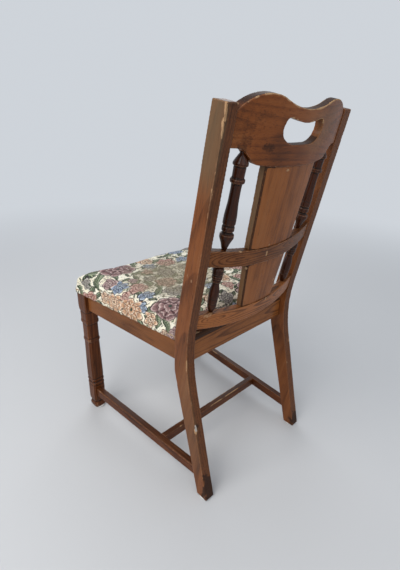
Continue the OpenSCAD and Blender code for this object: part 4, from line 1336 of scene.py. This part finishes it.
@dataclass
class Cushion:
    """The slip seat's stuffed top in its tapestry cover.

    Args:
        front_half: Half the width at the front.
        rear_half: Half the width at the rear.
        lift: Height of the turned-under cloth above the cover's underside.
        turn_under: Width of the cloth turned under.
        sink: Height of the board above the edge of its underside.
        edge: Width of the cushion's rounded edge.
        sides: Levels where the sides start to lean in and stop.
        drawn_down: How far the top is drawn down before it is stuffed.
        drawn_in: Share by which the top is drawn in before it is stuffed.
        crown: Level that the folded-out sides are measured from.
        tacked: Level below which the cloth is held.
        voxel: Mesh size before the cloth is stretched.
        swell: The most that a point may move.
        pressure: How hard the cushion is stuffed.
        stiffness: How little the cloth stretches.
        frames: How long it takes to settle.
        sat_on: Middle of the hollow that years of sitting left.
        hollow: Depth of the hollow.
        uneven: Height of the lumps and ripples.
        cloth: Its cover.
    """

    front_half: float = 0.264
    rear_half: float = 0.210
    lift: float = 0.0003
    turn_under: float = 0.042
    sink: float = 0.0012
    edge: float = 0.035
    sides: tuple[float, float] = (0.445, 0.497)
    drawn_down: float = 0.004
    drawn_in: float = 0.010
    crown: float = 0.482
    tacked: float = 0.441
    voxel: float = 0.005
    swell: float = 0.009
    pressure: float = 4.0
    stiffness: float = 30.0
    frames: int = 20
    sat_on: tuple[float, float] = (0.02, -0.07)
    hollow: float = 0.004
    uneven: float = 0.0035
    cloth: Tapestry = field(default_factory=Tapestry)

    def __post_init__(self) -> None:
        """Takes the edges and the levels from the frame, to a tenth of a millimetre."""
        low, high = ([round(value, 4) for value in corner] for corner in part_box("seat_cover"))
        self.front, self.rear = low[1], high[1]
        self.underside = low[2] + self.lift
        self.board_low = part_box("seat_board")[0][2]

    def build(self) -> bpy.types.Object:
        """Builds, stuffs, covers and dresses the cushion.

        Returns:
            The finished object.
        """
        piece = merged_copy("seat_cushion", "seat_cover", "seat_padding", "seat_board")
        shape_with(piece, "REMESH", mode="VOXEL", voxel_size=self.voxel, use_smooth_shade=True)
        start = self.slim(piece)
        self.stuff(piece)
        self.settle(piece, start)
        shape_with(piece, "SUBSURF", levels=1, render_levels=1)
        self.flatten_underside(piece)
        self.cloth.weave(piece.data, self.unrolled(piece.data))
        piece.data.materials.append(self.cloth.material())
        for face in piece.data.polygons:
            face.use_smooth = True
        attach(piece, BODY)
        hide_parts("seat_cover", "seat_padding")
        log.info("%s: %d faces", piece.name, len(piece.data.polygons))
        return piece

    def slim(self, piece: bpy.types.Object) -> np.ndarray:
        """Draws the pad in before it is stuffed.

        Args:
            piece: The pad.

        Returns:
            The places that it starts from.
        """
        places = vertex_places(piece.data)
        high = step(places[:, 2], *self.sides)
        places[:, 2] -= self.drawn_down * high
        middle = np.array([0.0, (self.front + self.rear) / 2])
        places[:, :2] = middle + (places[:, :2] - middle) * (1.0 - self.drawn_in * high[:, None])
        put_vertices(piece.data, places)
        return places

    def stuff(self, piece: bpy.types.Object) -> None:
        """Swells the pad with the cloth simulation, held at its board.

        Args:
            piece: The pad.
        """
        held = piece.vertex_groups.new(name="held")
        places = vertex_places(piece.data)
        low = np.flatnonzero(places[:, 2] < self.tacked)
        held.add(low.tolist(), 1.0, "REPLACE")
        select_only(piece)
        modifier = piece.modifiers.new("cloth", "CLOTH")
        settings = modifier.settings
        settings.quality = 5
        settings.mass = 0.3
        settings.tension_stiffness = self.stiffness
        settings.compression_stiffness = self.stiffness
        settings.bending_stiffness = 2.0
        settings.use_pressure = True
        settings.uniform_pressure_force = self.pressure
        settings.vertex_group_mass = "held"
        settings.effector_weights.gravity = 0.0
        modifier.point_cache.frame_start = 1
        modifier.point_cache.frame_end = self.frames
        scene = bpy.context.scene
        for count in range(1, self.frames + 1):
            scene.frame_set(count)
        bpy.ops.object.modifier_apply(modifier=modifier.name)
        scene.frame_set(1)

    def settle(self, piece: bpy.types.Object, start: np.ndarray) -> None:
        """Caps the swelling, then adds the dips and lumps of long use.

        Args:
            piece: The pad.
            start: Where its vertices were before it was stuffed.
        """
        places = vertex_places(piece.data)
        moved = places - start
        far = np.linalg.norm(moved, axis=1, keepdims=True)
        places = start + moved * np.minimum(1.0, self.swell / np.maximum(far, 1e-9))
        top = step(places[:, 2], 0.455, 0.485)
        lump = lumps(places, 0.11, 3) - 0.5 + (lumps(places, 0.045, 9) - 0.5) * 0.45
        dip = np.exp(-np.sum((places[:, :2] - self.sat_on) ** 2, axis=1) / 0.030)
        places[:, 2] += top * (lump * self.uneven - dip * self.hollow)
        side = step(places[:, 2], 0.440, 0.455) * (1.0 - top)
        ripple = (lumps(places * (1.0, 1.0, 0.25), 0.030, 17) - 0.5) * self.uneven
        places += vertex_normals(piece.data) * (side * ripple)[:, None]
        put_vertices(piece.data, places)

    def half_width(self, places: np.ndarray) -> np.ndarray:
        """Half the seat's width level with each point."""
        share = np.clip((places[:, 1] - self.front) / (self.rear - self.front), 0.0, 1.0)
        return self.front_half + (self.rear_half - self.front_half) * share

    def inset(self, places: np.ndarray) -> np.ndarray:
        """How far each point is inside the seat's outline, in metres."""
        ends = np.minimum(places[:, 1] - self.front, self.rear - places[:, 1])
        return np.minimum(self.half_width(places) - np.abs(places[:, 0]), ends)

    def flatten_underside(self, piece: bpy.types.Object) -> None:
        """Lays the turned-under cloth flat on the rails and opens the middle to the board.

        Args:
            piece: The pad.
        """
        places = vertex_places(piece.data)
        normals = vertex_normals(piece.data)
        under = (places[:, 2] < self.tacked + 0.0005) & (normals[:, 2] < -0.5)
        middle = self.inset(places) > self.turn_under
        places[under, 2] = np.where(middle[under], self.board_low + self.sink, self.underside)
        places[:, 2] = np.maximum(places[:, 2], self.underside)
        put_vertices(piece.data, places)

    def unrolled(self, mesh: bpy.types.Mesh) -> np.ndarray:
        """Where each point lies on the flat cloth, with the sides folded out.

        Args:
            mesh: The cushion's mesh.

        Returns:
            Rows of x, y, 0 in millimetres.
        """
        places = vertex_places(mesh)
        half = self.half_width(places) - self.edge
        core_x = np.clip(places[:, 0], -half, half)
        core_y = np.clip(places[:, 1], self.front + self.edge, self.rear - self.edge)
        out = places[:, :2] - np.stack([core_x, core_y], 1)
        far = np.linalg.norm(out, axis=1)
        drop = np.maximum(self.crown - places[:, 2], 0.0) * step(far, 0.010, 0.026)
        away = out / np.maximum(far, 1e-6)[:, None]
        flat = places[:, :2] + away * drop[:, None]
        return np.column_stack([flat, np.zeros(len(flat))]) / MM


@dataclass
class Fittings:
    """The hidden joints, blocks, board, screws, tacks and glides, kept as they are drawn.

    Args:
        bare: The unstained wood.
        steel: The screws, tacks and nails.
        plastic: The glides.
    """

    bare: BareWood = BareWood()
    steel: PlatedSteel = PlatedSteel()
    plastic: GlidePlastic = GlidePlastic()

    def dress(self) -> None:
        """Gives each fitting its material."""
        ends = ("front", "rear")
        corners = [f"corner_block_{end}_{side}" for end in ends for side in SIDES]
        glides = [f"{end}_glide_{side}" for end in ends for side in SIDES]
        dowelled = ("crest", "mid_rail", "lower_rail", "rear_rail", "front_rail", "side_rail")
        dowels = [f"{place}_dowels" for place in (*dowelled, "stretcher")]
        metal = ["seat_screws", "block_screws", "cover_tacks", "glide_nails"]
        self.paint(corners, self.bare.material(Grain.ACROSS, 2))
        self.paint(["seat_board"], self.bare.material(Grain.DEPTH, 5))
        self.paint(dowels, self.bare.material(Grain.ACROSS, 7))
        self.paint(metal, self.steel.material())
        self.paint(glides, self.plastic.material())

    def paint(self, nodes: Sequence[str], material: bpy.types.Material) -> None:
        """Puts a material on some CAD nodes.

        Args:
            nodes: The nodes' names.
            material: What they get.
        """
        for name in nodes:
            mesh = frame["nodes"][name].data
            mesh.materials.clear()
            mesh.materials.append(material)
            log.info("%s: %s", name, material.name)


@dataclass
class Studio:
    """A pale floor, soft lamps and the camera.

    Args:
        eye: The camera's place.
        ahead: The way the camera looks.
        right: The way to the picture's right.
        lens: Its focal length on a 36 mm sensor, in millimetres.
        shift: Its shift upwards, as a share of the picture.
        aim: What the lamps face.
        ground: Colour of the floor.
        wide: Side of the floor.
        melt: Where the floor starts and ends melting into the backdrop.
        backdrop: Colour of what lies beyond the floor.
        air: Colour of the light from all round.
    """

    eye: Vector = field(default_factory=lambda: Vector((0.733815, 0.733051, 0.952364)))
    ahead: Vector = field(default_factory=lambda: Vector((-0.64221, -0.64578, -0.41296)))
    right: Vector = field(default_factory=lambda: Vector((-0.72015, 0.69286, 0.03646)))
    lens: float = 24.35
    shift: float = -1.0 / 570.0
    aim: Vector = field(default_factory=lambda: Vector((0.0, 0.0, 0.5)))
    ground: Colour = (0.56, 0.56, 0.565)
    wide: float = 60.0
    melt: tuple[float, float] = (1.4, 3.4)
    backdrop: Colour = (0.62, 0.655, 0.70)
    air: Colour = (0.82, 0.90, 1.0)

    def build(self) -> None:
        """Sets the stage, the light and the camera."""
        self.floor()
        self.world()
        self.lamp("key", (2.3, 0.2, 2.4), 2.4, 78.0, (1.0, 0.985, 0.96))
        self.lamp("fill", (0.2, 2.8, 1.9), 2.6, 22.0, (0.97, 0.985, 1.0))
        self.lamp("front", (-1.6, -2.2, 2.4), 2.4, 34.0, (0.97, 0.985, 1.0))
        self.camera()

    def floor(self) -> None:
        """A wide pale floor that melts into the backdrop."""
        bpy.ops.mesh.primitive_plane_add(size=self.wide)
        plane = bpy.context.active_object
        plane.name = "studio_floor"
        b = Bench.material("studio_floor")
        far = b.node("ShaderNodeVectorMath", {"operation": "LENGTH"}, {0: b.place()}, 1)
        matt = {"Base Color": self.ground, "Roughness": 0.85}
        paint = b.node("ShaderNodeBsdfPrincipled", {}, matt)
        glow = b.node("ShaderNodeEmission", {}, {"Color": self.backdrop, "Strength": 1.0})
        melted = far.rise(*self.melt) * b.seen()
        both = b.node("ShaderNodeMixShader", {}, {0: melted, 1: paint, 2: glow})
        b.node("ShaderNodeOutputMaterial", {}, {"Surface": both})
        plane.data.materials.append(b.owner)

    def world(self) -> None:
        """An even, slightly cool room light behind a pale backdrop."""
        b = Bench(bpy.data.worlds.new("room"))
        light = b.node("ShaderNodeBackground", {}, {"Color": self.air, "Strength": 0.50})
        wall = b.node("ShaderNodeBackground", {}, {"Color": self.backdrop, "Strength": 1.0})
        both = b.node("ShaderNodeMixShader", {}, {0: b.seen(), 1: light, 2: wall})
        b.node("ShaderNodeOutputWorld", {}, {"Surface": both})
        bpy.context.scene.world = b.owner

    def lamp(self, name: str, place: Triple, size: float, watts: float, colour: Colour) -> None:
        """A square soft lamp that faces the seat.

        Args:
            name: The lamp's name.
            place: Where it stands.
            size: Its side.
            watts: Its power.
            colour: Its colour.
        """
        light = bpy.data.lights.new(name, "AREA")
        light.size = size
        light.energy = watts
        light.color = colour
        lamp = bpy.data.objects.new(name, light)
        bpy.context.scene.collection.objects.link(lamp)
        lamp.location = place
        ahead = self.aim - lamp.location
        lamp.rotation_euler = ahead.to_track_quat("-Z", "Y").to_euler()

    def camera(self) -> None:
        """The camera, set square to its three axes."""
        scene = bpy.context.scene
        data = bpy.data.cameras.new("camera")
        data.lens = self.lens
        data.shift_y = self.shift
        camera = bpy.data.objects.new("camera", data)
        scene.collection.objects.link(camera)
        up = self.right.cross(self.ahead).normalized()
        turn = Matrix((self.right.normalized(), up, -self.ahead.normalized())).transposed()
        camera.matrix_world = Matrix.Translation(self.eye) @ turn.to_4x4()
        scene.camera = camera
        scene.view_settings.view_transform = "Standard"


def main() -> None:
    """Builds the chair in order."""
    logging.basicConfig(level=logging.INFO, format="%(message)s")
    Studio().build()
    Back().build()
    Base().build()
    Cushion().build()
    Fittings().dress()


if __name__ == "__main__":
    main()
